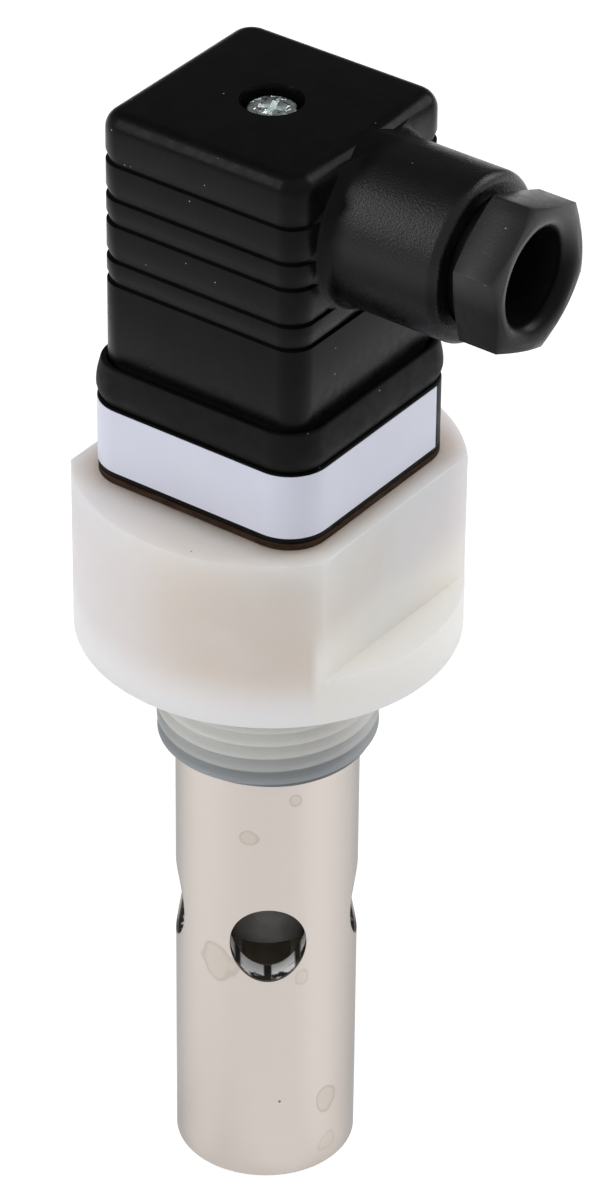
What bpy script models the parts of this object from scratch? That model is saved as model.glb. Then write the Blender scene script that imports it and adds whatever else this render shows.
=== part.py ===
"""Conductivity probe for water: a threaded plastic head with two concentric steel electrodes below
and a square plug connector with a cable gland on top.

The origin is on the axis at the sealing shoulder, the underside of the head. +Z points to the
connector and +X along the cable gland. Units are metres.
"""

import math

import bmesh
import bpy
from mathutils import Vector
from mathutils.geometry import interpolate_bezier

MM = 0.001

# Fits between pieces
SEAT = 0.1 * MM
CLEAR = 0.3 * MM

# Roundness of turned pieces, in sides
FINE = 40
ROUND = 24
SMALL = 14
CORNER_STEPS = 4
SEAL_SIDES = 6
HELPER_START = 0.37
HEX_SIDES = 6
TOP_ROUND_STEPS = 3
LEAD_BEVEL_STEPS = 2
SMOOTH_BELOW = math.radians(35)

# Head with its wrench flats and its pipe thread (G 3/4)
HEAD_DIAMETER = 45.7 * MM
HEAD_HEIGHT = 22.2 * MM
HEAD_CHAMFER = 0.5 * MM
FLANGE_HEIGHT = 6.0 * MM
ACROSS_FLATS = 36.0 * MM
THREAD_DIAMETER = 26.44 * MM
THREAD_PITCH = 1.814 * MM
THREAD_DEPTH = 1.16 * MM
THREAD_LENGTH = 15.9 * MM
THREAD_RUNOUT = 1.0 * MM
HEAD_CAVITY_DIAMETER = 25.2 * MM
WEB_THICKNESS = 7.3 * MM

# Outer electrode: a tube with a spigot that screws into the head
TUBE_DIAMETER = 22.0 * MM
TUBE_WALL = 3.5 * MM
TUBE_LENGTH = 60.0 * MM
TUBE_CHAMFER = 0.6 * MM
SPIGOT_STEP = 1.8 * MM
SPIGOT_LENGTH = 11.3 * MM
SPIGOT_GROOVE_DEPTH = 1.45 * MM
SPIGOT_GROOVE_WIDTH = 1.8 * MM
SPIGOT_GROOVE_SET = 1.0 * MM
CROSS_HOLE_WIDTH = 9.2 * MM
CROSS_HOLE_HEIGHT = 10.8 * MM
CROSS_HOLE_DROP = 24.4 * MM
CROSS_HOLE_ANGLE = math.radians(-52.5)
CROSS_HOLES = 4

# Inner electrode, its insulator and what is fastened to it
ROD_DIAMETER = 6.0 * MM
ROD_EXPOSED = 14.8 * MM
ROD_TOP = 12.0 * MM
ROD_NOSE = 1.0 * MM
ROD_BORE_DIAMETER = 3.0 * MM
ROD_BORE_FLOOR = 8.0 * MM
INSULATOR_DROP = 26.9 * MM
INSULATOR_NECK_DIAMETER = 9.4 * MM
ORING_SECTION = 1.2 * MM
NECK_SEAL_SECTION = 1.5 * MM
TAG_DIAMETER = 15.0 * MM
TAG_THICKNESS = 0.8 * MM
NUT_ACROSS_FLATS = 10.0 * MM
NUT_HEIGHT = 4.0 * MM
SENSOR_DIAMETER = 2.4 * MM
SENSOR_LENGTH = 10.0 * MM
CONTACT_PIN_DIAMETER = 1.2 * MM
CONTACT_COLLAR_DIAMETER = 3.4 * MM
CONTACT_COLLAR_HEIGHT = 1.0 * MM
CONTACT_PIN_RISE = 3.0 * MM
LEAD_DIAMETER = 0.7 * MM
LEAD_STRAIGHT = 3.0 * MM
LEAD_STEPS = 5

# Connector base, its fibre gasket, blank type label and screws
FIBRE_THICKNESS = 0.8 * MM
BASE_SIDE = 30.9 * MM
BASE_CORNER = 5.0 * MM
BASE_HEIGHT = 9.0 * MM
BASE_RIM = 0.7 * MM
BASE_WALL = 3.45 * MM
BASE_WEB = 3.8 * MM
LABEL_HEIGHT = 8.2 * MM
LABEL_THICKNESS = 0.2 * MM
LABEL_END_GAP = 4.45 * MM
LABEL_RETURN = 9.0 * MM
BASE_SCREW_SET = 4.65 * MM
BASE_SCREW_DIAMETER = 3.0 * MM
BASE_SCREW_HEAD = 5.5 * MM
BASE_SCREW_HEAD_HEIGHT = 1.7 * MM
BASE_SCREW_LENGTH = 17.0 * MM

# Connector pins and the insert that takes the fixing screw
PIN_CIRCLE = 18.0 * MM
PIN_WIDTH = 6.3 * MM
PIN_THICKNESS = 0.8 * MM
PIN_RISE = 11.0 * MM
PIN_TAIL = 2.6 * MM
INSERT_DIAMETER = 5.2 * MM
INSERT_FLANGE_DIAMETER = 8.0 * MM
INSERT_FLANGE_HEIGHT = 1.2 * MM
INSERT_RISE = 7.0 * MM

# Profile gasket between the base and the plug
BAND_OVERHANG = 1.5 * MM
BAND_CORNER = 4.6 * MM
BAND_HEIGHT = 4.9 * MM
BAND_BULGE = 0.45 * MM
BAND_FULL_FROM = 1.225 * MM
BAND_FULL_TO = 2.45 * MM
BAND_PIN_GAP = 1.0 * MM
BAND_GROOVE_WIDTH = 0.9 * MM
BAND_GROOVE_DEPTH = 1.3 * MM
BAND_WEB_RISE = 0.25 * MM

# Plug housing with its stepped ribs and the collar of the gland
PLUG_SIDE = 28.0 * MM
PLUG_CORNER = 3.0 * MM
PLUG_HEIGHT = 31.5 * MM
PLUG_WALL = 2.0 * MM
PLUG_ROOF = 2.5 * MM
PLUG_TOP_ROUND = 2.4 * MM
RIB_STEPS = (10.0 * MM, 13.0 * MM, 17.65 * MM, 20.9 * MM, 25.35 * MM)
RIB_TAPER = 1.4 * MM
RIB_DEPTH = 0.4 * MM
COLLAR_DIAMETER = 20.0 * MM
COLLAR_REACH = 29.0 * MM
COLLAR_DROP = 10.1 * MM
COLLAR_ROUND = 1.2 * MM

# Contact carrier, sockets and terminal screws inside the plug
CARRIER_HEIGHT = 14.0 * MM
CARRIER_LIFT = 0.6 * MM
SOCKET_THICKNESS = 2.4 * MM
SOCKET_WIDTH = 7.8 * MM
SOCKET_FLOOR = 1.2 * MM
TERMINAL_DEPTH = 3.0 * MM
TERMINAL_WIDTH = 5.2 * MM
TERMINAL_HEIGHT = 4.0 * MM
TERMINAL_SCREW_DIAMETER = 2.6 * MM
TERMINAL_SCREW_HEAD = 4.0 * MM
TERMINAL_SCREW_HEAD_HEIGHT = 1.4 * MM
TERMINAL_SCREW_DEPTH = 3.2 * MM
SLOT_WIDTH = 0.6 * MM
SLOT_DEPTH = 0.7 * MM

# Fixing screw (M3) through the plug
SCREW_DIAMETER = 3.0 * MM
SCREW_HEAD_DIAMETER = 5.7 * MM
SCREW_HEAD_HEIGHT = 2.0 * MM
SCREW_HEAD_CHAMFER = 0.7 * MM
SCREW_SINK = 1.0 * MM
SCREW_RECESS_WIDTH = 4.2 * MM
SCREW_RECESS_SLOT = 0.9 * MM
SCREW_RECESS_DEPTH = 0.9 * MM
SCREW_ENGAGED = 8.0 * MM
SCREW_SEAL_HEIGHT = 0.8 * MM
RECESS_DIAMETER = 7.4 * MM
BOSS_WALL = 1.0 * MM

# Cable gland (PG 9): pressing screw, washer and grommet
GLAND_THREAD_DIAMETER = 15.2 * MM
GLAND_SHANK_LENGTH = 6.0 * MM
GLAND_GAP = 1.5 * MM
GLAND_CORNER_DIAMETER = 19.1 * MM
GLAND_HEX_LENGTH = 5.7 * MM
GLAND_CHAMFER = 0.6 * MM
GLAND_BORE = 9.6 * MM
GLAND_MOUTH = 14.4 * MM
GLAND_MOUTH_DEPTH = 3.2 * MM
GLAND_TURN = math.radians(9.5)
GLAND_WASHER_THICKNESS = 0.8 * MM
GLAND_WASHER_BORE = 8.4 * MM
GROMMET_DIAMETER = 13.0 * MM
GROMMET_BORE = 7.6 * MM
CABLE_HOLE = 9.0 * MM

# Heights that follow from the sizes above
SPIGOT_ROOM = SPIGOT_LENGTH + CLEAR
WEB_BOTTOM = SPIGOT_ROOM - THREAD_LENGTH
WEB_TOP = WEB_BOTTOM + WEB_THICKNESS
SHOULDER = -THREAD_LENGTH - SEAT
TUBE_END = SHOULDER - TUBE_LENGTH
TUBE_BORE = TUBE_DIAMETER - 2 * TUBE_WALL
SPIGOT_DIAMETER = TUBE_DIAMETER - 2 * SPIGOT_STEP
INSULATOR_END = SHOULDER - INSULATOR_DROP
ROD_END = INSULATOR_END - ROD_EXPOSED
FIBRE_BOTTOM = HEAD_HEIGHT + SEAT
BASE_BOTTOM = FIBRE_BOTTOM + FIBRE_THICKNESS + SEAT
BASE_TOP = BASE_BOTTOM + BASE_HEIGHT
BASE_CEILING = BASE_TOP - BASE_WEB
BASE_WELL_DIAMETER = BASE_SIDE - 2 * BASE_WALL
BASE_SCREW_SPACING = BASE_SIDE - 2 * BASE_SCREW_SET
BAND_SIDE = PLUG_SIDE + 2 * BAND_OVERHANG
BAND_OPENING = PIN_CIRCLE + PIN_THICKNESS + 2 * BAND_PIN_GAP
BAND_BOTTOM = BASE_TOP + SEAT
BAND_TOP = BAND_BOTTOM + BAND_HEIGHT
BAND_WEB_TOP = BAND_TOP + BAND_WEB_RISE
PLUG_BOTTOM = BAND_WEB_TOP + SEAT
PLUG_TOP = PLUG_BOTTOM + PLUG_HEIGHT
CEILING = PLUG_TOP - PLUG_ROOF
COLLAR_HEIGHT = PLUG_TOP - COLLAR_DROP
CARRIER_BOTTOM = PLUG_BOTTOM + CARRIER_LIFT
CARRIER_TOP = CARRIER_BOTTOM + CARRIER_HEIGHT
SCREW_HEAD_TOP = PLUG_TOP - SCREW_SINK
RECESS_FLOOR = SCREW_HEAD_TOP - SCREW_HEAD_HEIGHT - SCREW_SEAL_HEIGHT - 2 * SEAT
INSERT_TOP = BASE_TOP + INSERT_RISE
BOSS_BOTTOM = CARRIER_TOP + CLEAR
BOSS_DIAMETER = RECESS_DIAMETER + 2 * BOSS_WALL
NUT_BACK = COLLAR_REACH + GLAND_GAP
SHANK_END = NUT_BACK - GLAND_SHANK_LENGTH
NUT_FRONT = NUT_BACK + GLAND_HEX_LENGTH
WASHER_END = SHANK_END - SEAT - GLAND_WASHER_THICKNESS
GROMMET_SEAT = PLUG_SIDE / 2 + PLUG_WALL
PIN_NAMES = ("1", "2", "3", "earth")

COLOURS = {
    "white_plastic": ((0.80, 0.77, 0.71), 0.45, 0.0),
    "satin_steel": ((0.66, 0.62, 0.57), 0.35, 1.0),
    "grey_plastic": ((0.10, 0.10, 0.10), 0.5, 0.0),
    "black_plastic": ((0.02, 0.02, 0.02), 0.5, 0.0),
    "black_rubber": ((0.015, 0.015, 0.015), 0.7, 0.0),
    "brown_fibre": ((0.20, 0.10, 0.04), 0.7, 0.0),
    "label_white": ((0.82, 0.81, 0.86), 0.5, 0.0),
    "brass": ((0.72, 0.55, 0.25), 0.35, 1.0),
    "zinc": ((0.62, 0.63, 0.65), 0.3, 1.0),
    "lead_red": ((0.5, 0.05, 0.04), 0.5, 0.0),
    "lead_blue": ((0.04, 0.08, 0.4), 0.5, 0.0),
    "ceramic": ((0.85, 0.83, 0.78), 0.4, 0.0),
}


def clear_scene():
    for old in list(bpy.data.objects):
        bpy.data.objects.remove(old, do_unlink=True)


def material(name):
    """The shared Principled material of that name."""
    found = bpy.data.materials.get(name)
    if found:
        return found
    colour, roughness, metallic = COLOURS[name]
    made = bpy.data.materials.new(name)
    made.use_nodes = True
    shader = made.node_tree.nodes["Principled BSDF"]
    shader.inputs["Base Color"].default_value = (*colour, 1)
    shader.inputs["Roughness"].default_value = roughness
    shader.inputs["Metallic"].default_value = metallic
    return made


def add_object(name, mesh, finish=None):
    """An object made from a bmesh. One with no finish is a cutter."""
    bmesh.ops.recalc_face_normals(mesh, faces=mesh.faces)
    data = bpy.data.meshes.new(name)
    mesh.to_mesh(data)
    mesh.free()
    made = bpy.data.objects.new(name, data)
    bpy.context.scene.collection.objects.link(made)
    if finish:
        data.materials.append(material(finish))
        data.shade_smooth()
        data.set_sharp_from_angle(angle=SMOOTH_BELOW)
    else:
        made.hide_render = True
        made.display_type = "WIRE"
    return made


def join_rings(mesh, lower, upper):
    """Faces between two rings of points. A ring of one point is a tip on the axis."""
    count = max(len(lower), len(upper))
    if count == 1:
        return
    for i in range(count):
        j = (i + 1) % count
        corners = [lower[i % len(lower)], lower[j % len(lower)]]
        corners += [upper[j % len(upper)], upper[i % len(upper)]]
        mesh.faces.new(list(dict.fromkeys(corners)))


def turned(name, outline, finish=None, sides=ROUND):
    """A solid turned about Z from a closed outline of (radius, height) points.

    A helper's corners lie between those of the pieces, so that no cut runs along an edge.
    """
    mesh = bmesh.new()
    rings = []
    start = 0 if finish else HELPER_START
    for radius, height in outline:
        count = sides if radius > 0 else 1
        angles = [2 * math.pi * (i + start) / count for i in range(count)]
        rings.append([mesh.verts.new((radius * math.cos(a), radius * math.sin(a), height)) for a in angles])
    for lower, upper in zip(rings, rings[1:] + rings[:1]):
        join_rings(mesh, lower, upper)
    return add_object(name, mesh, finish)


def cylinder(name, radius, bottom, top, finish=None, sides=ROUND):
    return turned(name, [(0, bottom), (radius, bottom), (radius, top), (0, top)], finish, sides)


def tube(name, inner, outer, bottom, top, finish=None, sides=ROUND):
    outline = [(inner, bottom), (outer, bottom), (outer, top), (inner, top)]
    return turned(name, outline, finish, sides)


def ring(name, mean_radius, section, height, finish):
    """A round seal of circular section about Z."""
    outline = []
    for i in range(SEAL_SIDES):
        angle = 2 * math.pi * (i + 0.5) / SEAL_SIDES
        outward = mean_radius + section / 2 * math.cos(angle)
        outline.append((outward, height + section / 2 * math.sin(angle)))
    return turned(name, outline, finish)


def square_points(side, corner):
    """Points of a square with round corners, from the +X side round the corners."""
    reach = side / 2 - corner
    points = []
    for quarter in range(4):
        middle = math.pi / 4 + quarter * math.pi / 2
        x = reach * math.copysign(1, math.cos(middle))
        y = reach * math.copysign(1, math.sin(middle))
        for step in range(CORNER_STEPS + 1):
            angle = quarter * math.pi / 2 + step * math.pi / 2 / CORNER_STEPS
            points.append((x + corner * math.cos(angle), y + corner * math.sin(angle)))
    return points


def square_stack(name, sections, finish=None, hollow=False):
    """A solid through square sections (side, corner, height). A hollow one is closed from last to first."""
    mesh = bmesh.new()
    rings = []
    for side, corner, height in sections:
        rings.append([mesh.verts.new((x, y, height)) for x, y in square_points(side, corner)])
    for lower, upper in zip(rings, rings[1:]):
        join_rings(mesh, lower, upper)
    if hollow:
        join_rings(mesh, rings[-1], rings[0])
    else:
        mesh.faces.new(rings[0])
        mesh.faces.new(rings[-1])
    return add_object(name, mesh, finish)


def box(name, size, centre, finish=None, turn=0.0):
    """A box turned about the part's axis by an angle, with its centre given before the turn."""
    mesh = bmesh.new()
    bmesh.ops.create_cube(mesh, size=1)
    bmesh.ops.scale(mesh, vec=size, verts=mesh.verts)
    bmesh.ops.translate(mesh, vec=centre, verts=mesh.verts)
    made = add_object(name, mesh, finish)
    made.rotation_euler.z = turn
    return made


def shape(target, other, operation="DIFFERENCE"):
    """Cuts, joins or crosses the target with a hidden helper."""
    change = target.modifiers.new(other.name, "BOOLEAN")
    change.operation = operation
    change.solver = "EXACT"
    change.object = other


def along_gland(made, turn=0.0):
    """Lays a piece that was turned about Z along the gland, +X, and turns it there."""
    made.rotation_mode = "ZYX"
    made.rotation_euler = (turn, math.pi / 2, 0)
    made.location = (0, 0, COLLAR_HEIGHT)
    return made


def thread_outline(diameter, top, bottom):
    """The crests and roots of a pipe thread, from its top down to its end face."""
    outline = []
    crests = int((top - bottom) / THREAD_PITCH)
    for i in range(crests):
        crest = top - (i + 0.5) * THREAD_PITCH
        outline.append((diameter / 2, crest))
        outline.append((diameter / 2 - THREAD_DEPTH, crest - THREAD_PITCH / 2))
    outline.append((diameter / 2 - THREAD_DEPTH, bottom))
    return outline


def base_screw_places():
    reach = BASE_SCREW_SPACING / 2
    return [(reach, reach), (-reach, reach), (-reach, -reach), (reach, -reach)]


def pin_angles():
    return [0.0, math.pi, math.pi / 2, -math.pi / 2]


def make_probe_body():
    """Head, wrench flats and pipe thread in one piece, with the wiring space inside."""
    radius = HEAD_DIAMETER / 2
    neck = INSULATOR_NECK_DIAMETER / 2 + CLEAR
    seal = neck + NECK_SEAL_SECTION + CLEAR
    outline = [(radius - HEAD_CHAMFER, HEAD_HEIGHT), (radius, HEAD_HEIGHT - HEAD_CHAMFER)]
    outline += [(radius, HEAD_CHAMFER), (radius - HEAD_CHAMFER, 0)]
    outline += [(THREAD_DIAMETER / 2 + SEAT, 0), (THREAD_DIAMETER / 2, -THREAD_RUNOUT)]
    outline += thread_outline(THREAD_DIAMETER, -THREAD_RUNOUT, -THREAD_LENGTH)
    outline += [(SPIGOT_DIAMETER / 2 + CLEAR, -THREAD_LENGTH), (SPIGOT_DIAMETER / 2 + CLEAR, WEB_BOTTOM)]
    outline += [(seal, WEB_BOTTOM), (seal, WEB_BOTTOM + NECK_SEAL_SECTION + CLEAR)]
    outline += [(neck, WEB_BOTTOM + NECK_SEAL_SECTION + CLEAR), (neck, WEB_TOP)]
    outline += [(HEAD_CAVITY_DIAMETER / 2, WEB_TOP), (HEAD_CAVITY_DIAMETER / 2, HEAD_HEIGHT)]
    body = turned("probe_body", outline, "white_plastic", FINE)
    flat_height = HEAD_HEIGHT - FLANGE_HEIGHT
    for side in (-1, 1):
        middle = side * (ACROSS_FLATS / 2 + radius / 2)
        size = (radius, 2 * HEAD_DIAMETER, 2 * flat_height)
        shape(body, box(f"flat_cutter_{side}", size, (middle, 0, FLANGE_HEIGHT + flat_height)))
    pin_hole = CONTACT_PIN_DIAMETER / 2 + CLEAR
    hole = cylinder("contact_cutter", pin_hole, WEB_BOTTOM - CLEAR, WEB_TOP + CLEAR, sides=SMALL)
    hole.location.x = -contact_radius()
    shape(body, hole)
    depth = BASE_TOP - BASE_SCREW_LENGTH - 2 * CLEAR
    for i, (x, y) in enumerate(base_screw_places()):
        shank = BASE_SCREW_DIAMETER / 2 + CLEAR
        hole = cylinder(f"body_screw_cutter_{i}", shank, depth, BASE_TOP, sides=SMALL)
        hole.location = (x, y, 0)
        shape(body, hole)


def contact_radius():
    return (SPIGOT_DIAMETER + TUBE_BORE) / 4


def make_outer_electrode():
    """Tube electrode with four oblong cross holes, and the seal in its spigot."""
    spigot = SPIGOT_DIAMETER / 2
    bore = TUBE_BORE / 2
    radius = TUBE_DIAMETER / 2
    top = SHOULDER + SPIGOT_LENGTH
    groove = SHOULDER + SPIGOT_GROOVE_SET
    outline = [(bore, top), (spigot, top), (spigot, groove + SPIGOT_GROOVE_WIDTH)]
    outline += [(spigot - SPIGOT_GROOVE_DEPTH, groove + SPIGOT_GROOVE_WIDTH)]
    outline += [(spigot - SPIGOT_GROOVE_DEPTH, groove), (spigot, groove), (spigot, SHOULDER)]
    outline += [(radius, SHOULDER), (radius, TUBE_END + TUBE_CHAMFER)]
    outline += [(radius - TUBE_CHAMFER, TUBE_END), (bore, TUBE_END)]
    electrode = turned("outer_electrode", outline, "satin_steel", FINE)
    for i in range(CROSS_HOLES // 2):
        hole = oblong_cutter(f"cross_hole_cutter_{i}")
        hole.rotation_euler.z = CROSS_HOLE_ANGLE + i * 2 * math.pi / CROSS_HOLES
        hole.location.z = SHOULDER - CROSS_HOLE_DROP
        shape(electrode, hole)
    middle = groove + SPIGOT_GROOVE_WIDTH / 2
    ring("tube_seal", spigot - ORING_SECTION / 2, ORING_SECTION, middle, "black_rubber")


def oblong_cutter(name):
    """A bar of oblong section along X that passes through both walls of the tube."""
    mesh = bmesh.new()
    half = CROSS_HOLE_WIDTH / 2
    straight = (CROSS_HOLE_HEIGHT - CROSS_HOLE_WIDTH) / 2
    ends = []
    for x in (-TUBE_DIAMETER, TUBE_DIAMETER):
        points = []
        for i in range(2 * SMALL):
            angle = math.pi * (i + 0.5) / SMALL
            lift = math.copysign(straight, math.sin(angle))
            points.append(mesh.verts.new((x, half * math.cos(angle), half * math.sin(angle) + lift)))
        ends.append(points)
        mesh.faces.new(points)
    join_rings(mesh, ends[0], ends[1])
    return add_object(name, mesh)


def make_insulator():
    """Bush that centres the inner electrode in the tube, and the seal round its neck."""
    bore = ROD_DIAMETER / 2 + CLEAR
    barrel = TUBE_BORE / 2 - CLEAR
    neck = INSULATOR_NECK_DIAMETER / 2
    step = WEB_BOTTOM - SEAT
    outline = [(bore, INSULATOR_END), (barrel, INSULATOR_END), (barrel, step)]
    outline += [(neck, step), (neck, WEB_TOP), (bore, WEB_TOP)]
    turned("electrode_insulator", outline, "grey_plastic")
    height = WEB_BOTTOM + (NECK_SEAL_SECTION + CLEAR) / 2
    ring("insulator_seal", neck + CLEAR + NECK_SEAL_SECTION / 2, NECK_SEAL_SECTION, height, "black_rubber")


def make_inner_electrode():
    """Rod electrode with a blind bore for the temperature sensor, its tag and its nut."""
    radius = ROD_DIAMETER / 2
    floor = ROD_END + ROD_BORE_FLOOR
    outline = [(0, ROD_END), (radius - ROD_NOSE, ROD_END), (radius, ROD_END + ROD_NOSE), (radius, ROD_TOP)]
    outline += [(ROD_BORE_DIAMETER / 2, ROD_TOP), (ROD_BORE_DIAMETER / 2, floor), (0, floor)]
    turned("inner_electrode", outline, "satin_steel")
    tag_bottom = WEB_TOP + SEAT
    tag_top = tag_bottom + TAG_THICKNESS
    tag = tube("solder_tag", radius + CLEAR, TAG_DIAMETER / 2, tag_bottom, tag_top, "brass")
    gap = cylinder("tag_cutter", CONTACT_COLLAR_DIAMETER / 2 + CLEAR, WEB_TOP, tag_top + CLEAR, sides=SMALL)
    gap.location.x = -contact_radius()
    shape(tag, gap)
    nut_bottom = tag_top + SEAT
    corner = NUT_ACROSS_FLATS / math.sqrt(3)
    nut = cylinder("electrode_nut", corner, nut_bottom, nut_bottom + NUT_HEIGHT, "zinc", HEX_SIDES)
    shape(nut, cylinder("nut_cutter", radius + CLEAR, WEB_TOP, nut_bottom + 2 * NUT_HEIGHT))
    sensor = floor + SEAT
    cylinder("temperature_sensor", SENSOR_DIAMETER / 2, sensor, sensor + SENSOR_LENGTH, "ceramic", SMALL)


def make_contact_pin():
    """Stud that carries the tube's signal through the web of the head."""
    radius = CONTACT_PIN_DIAMETER / 2
    collar = WEB_TOP + SEAT
    outline = [(0, WEB_BOTTOM), (radius, WEB_BOTTOM), (radius, collar)]
    collar_top = collar + CONTACT_COLLAR_HEIGHT
    outline += [(CONTACT_COLLAR_DIAMETER / 2, collar), (CONTACT_COLLAR_DIAMETER / 2, collar_top)]
    outline += [(radius, collar_top), (radius, contact_pin_top()), (0, contact_pin_top())]
    pin = turned("outer_contact_pin", outline, "brass", SMALL)
    pin.location.x = -contact_radius()


def contact_pin_top():
    return WEB_TOP + CONTACT_COLLAR_HEIGHT + CONTACT_PIN_RISE


def smooth_route(points):
    """Points on a smooth curve through a route, close enough together to look round."""
    tangents = []
    for before, after in zip([points[0], *points], [*points[1:], points[-1]]):
        tangents.append((after - before).normalized())
    route = []
    for start, end, leaving, arriving in zip(points, points[1:], tangents, tangents[1:]):
        reach = (end - start).length / 3
        span = interpolate_bezier(start, start + leaving * reach, end - arriving * reach, end, LEAD_STEPS)
        route += span[:-1]
    return [*route, points[-1]]


def lead(name, points, finish):
    """A thin insulated wire along a smooth route."""
    route = smooth_route([Vector(p) for p in points])
    data = bpy.data.curves.new(name, "CURVE")
    data.dimensions = "3D"
    data.bevel_depth = LEAD_DIAMETER / 2
    data.bevel_resolution = LEAD_BEVEL_STEPS
    data.use_fill_caps = True
    spline = data.splines.new("POLY")
    spline.points.add(len(route) - 1)
    for point, place in zip(spline.points, route):
        point.co = (*place, 1)
    data.materials.append(material(finish))
    bpy.context.scene.collection.objects.link(bpy.data.objects.new(name, data))


def make_leads():
    """Wires from the electrodes and the sensor to the tails of the four pins."""
    pin_radius = PIN_CIRCLE / 2
    tail = BASE_CEILING - PIN_TAIL - SEAT
    tag_edge = TAG_DIAMETER / 2 - LEAD_DIAMETER
    tag_top = WEB_TOP + SEAT + TAG_THICKNESS + SEAT
    lead("lead_inner", [
        (tag_edge, 0, tag_top),
        (tag_edge, 0, tag_top + LEAD_STRAIGHT),
        (pin_radius, 0, tail - LEAD_STRAIGHT),
        (pin_radius, 0, tail),
    ], "lead_red")
    contact = contact_pin_top() + SEAT
    lead("lead_outer", [
        (-contact_radius(), 0, contact),
        (-contact_radius(), 0, contact + LEAD_STRAIGHT),
        (-pin_radius, 0, tail - LEAD_STRAIGHT),
        (-pin_radius, 0, tail),
    ], "lead_blue")
    sensor_top = ROD_END + ROD_BORE_FLOOR + SEAT + SENSOR_LENGTH + SEAT
    offset = SENSOR_DIAMETER / 4
    for name, side in (("lead_sensor_1", 1), ("lead_sensor_2", -1)):
        lead(name, [
            (0, side * offset, sensor_top),
            (0, side * offset, ROD_TOP),
            (0, side * (offset + LEAD_DIAMETER), ROD_TOP + LEAD_STRAIGHT),
            (0, side * pin_radius, tail - LEAD_STRAIGHT),
            (0, side * pin_radius, tail),
        ], "lead_red" if side > 0 else "lead_blue")


def make_connector_base():
    """Fibre gasket, square base with its well for the pin tails, label and screws."""
    fibre = square_stack("base_gasket", [
        (BASE_SIDE, BASE_CORNER, FIBRE_BOTTOM),
        (BASE_SIDE, BASE_CORNER, FIBRE_BOTTOM + FIBRE_THICKNESS),
    ], "brown_fibre")
    base = square_stack("connector_base", [
        (BASE_SIDE, BASE_CORNER, BASE_BOTTOM),
        (BASE_SIDE, BASE_CORNER, BASE_TOP),
    ], "black_plastic")
    well = cylinder("well_cutter", BASE_WELL_DIAMETER / 2, HEAD_HEIGHT, BASE_CEILING, sides=FINE)
    shape(fibre, well)
    shape(base, well)
    shape(base, cylinder("insert_cutter", INSERT_DIAMETER / 2 + CLEAR, BASE_BOTTOM, BASE_TOP + CLEAR))
    for name, angle in zip(PIN_NAMES, pin_angles()):
        size = (PIN_THICKNESS + 2 * CLEAR, PIN_WIDTH + 2 * CLEAR, 4 * BASE_WEB)
        centre = (PIN_CIRCLE / 2, 0, BASE_TOP - BASE_WEB / 2)
        shape(base, box(f"pin_cutter_{name}", size, centre, turn=angle))
    for i, (x, y) in enumerate(base_screw_places()):
        shank = BASE_SCREW_DIAMETER / 2 + CLEAR
        shaft = cylinder(f"base_screw_cutter_{i}", shank, HEAD_HEIGHT, BASE_TOP + CLEAR, sides=SMALL)
        sink = BASE_TOP - BASE_SCREW_HEAD_HEIGHT - 2 * SEAT
        width = BASE_SCREW_HEAD / 2 + CLEAR
        head = cylinder(f"base_head_cutter_{i}", width, sink, BASE_TOP + CLEAR, sides=SMALL)
        shaft.location = (x, y, 0)
        head.location = (x, y, 0)
        shape(fibre, shaft)
        shape(base, shaft)
        shape(base, head)
        make_base_screw(f"base_screw_{i + 1}", x, y)
    make_label()


def make_base_screw(name, x, y):
    """Cheese-head screw that holds the connector base to the head."""
    top = BASE_TOP - SEAT
    under = top - BASE_SCREW_HEAD_HEIGHT
    shank = BASE_SCREW_DIAMETER / 2
    head = BASE_SCREW_HEAD / 2
    outline = [(0, top - BASE_SCREW_LENGTH), (shank, top - BASE_SCREW_LENGTH), (shank, under)]
    outline += [(head, under), (head, top), (0, top)]
    screw = turned(name, outline, "zinc", SMALL)
    slot = box(f"{name}_slot", (2 * BASE_SCREW_HEAD, SLOT_WIDTH, 2 * SLOT_DEPTH), (0, 0, top))
    shape(screw, slot)
    screw.location = (x, y, 0)
    slot.location = (x, y, 0)


def make_label():
    """Blank type label wrapped round three sides of the base."""
    inner = BASE_SIDE + 2 * SEAT
    outer = inner + 2 * LABEL_THICKNESS
    bottom = BASE_BOTTOM + BASE_RIM
    top = bottom + LABEL_HEIGHT
    corner = BASE_CORNER + SEAT
    label = square_stack("type_label", [
        (inner, corner, bottom),
        (outer, corner + LABEL_THICKNESS, bottom),
        (outer, corner + LABEL_THICKNESS, top),
        (inner, corner, top),
    ], "label_white", hollow=True)
    front = BASE_SIDE / 2 - LABEL_END_GAP
    back = BASE_CORNER + LABEL_RETURN - BASE_SIDE / 2
    depth = 2 * BASE_SIDE
    size = (depth, depth, 2 * BASE_HEIGHT)
    shape(label, box("label_cutter_back", size, (-depth / 2, depth / 2 + back, BASE_TOP)))
    shape(label, box("label_cutter_front", size, (depth / 2 - SEAT, depth / 2 + front, BASE_TOP)))


def make_pins():
    """Four flat pins in the base and the threaded insert between them."""
    for name, angle in zip(PIN_NAMES, pin_angles()):
        bottom = BASE_CEILING - PIN_TAIL
        top = BASE_TOP + PIN_RISE
        size = (PIN_THICKNESS, PIN_WIDTH, top - bottom)
        box(f"pin_{name}", size, (PIN_CIRCLE / 2, 0, (top + bottom) / 2), "brass", angle)
    bore = SCREW_DIAMETER / 2 + CLEAR
    flange_top = BASE_CEILING - SEAT
    flange = INSERT_FLANGE_DIAMETER / 2
    radius = INSERT_DIAMETER / 2
    outline = [(bore, flange_top - INSERT_FLANGE_HEIGHT), (flange, flange_top - INSERT_FLANGE_HEIGHT)]
    outline += [(flange, flange_top), (radius, flange_top), (radius, INSERT_TOP), (bore, INSERT_TOP)]
    turned("threaded_insert", outline, "brass")


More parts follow.
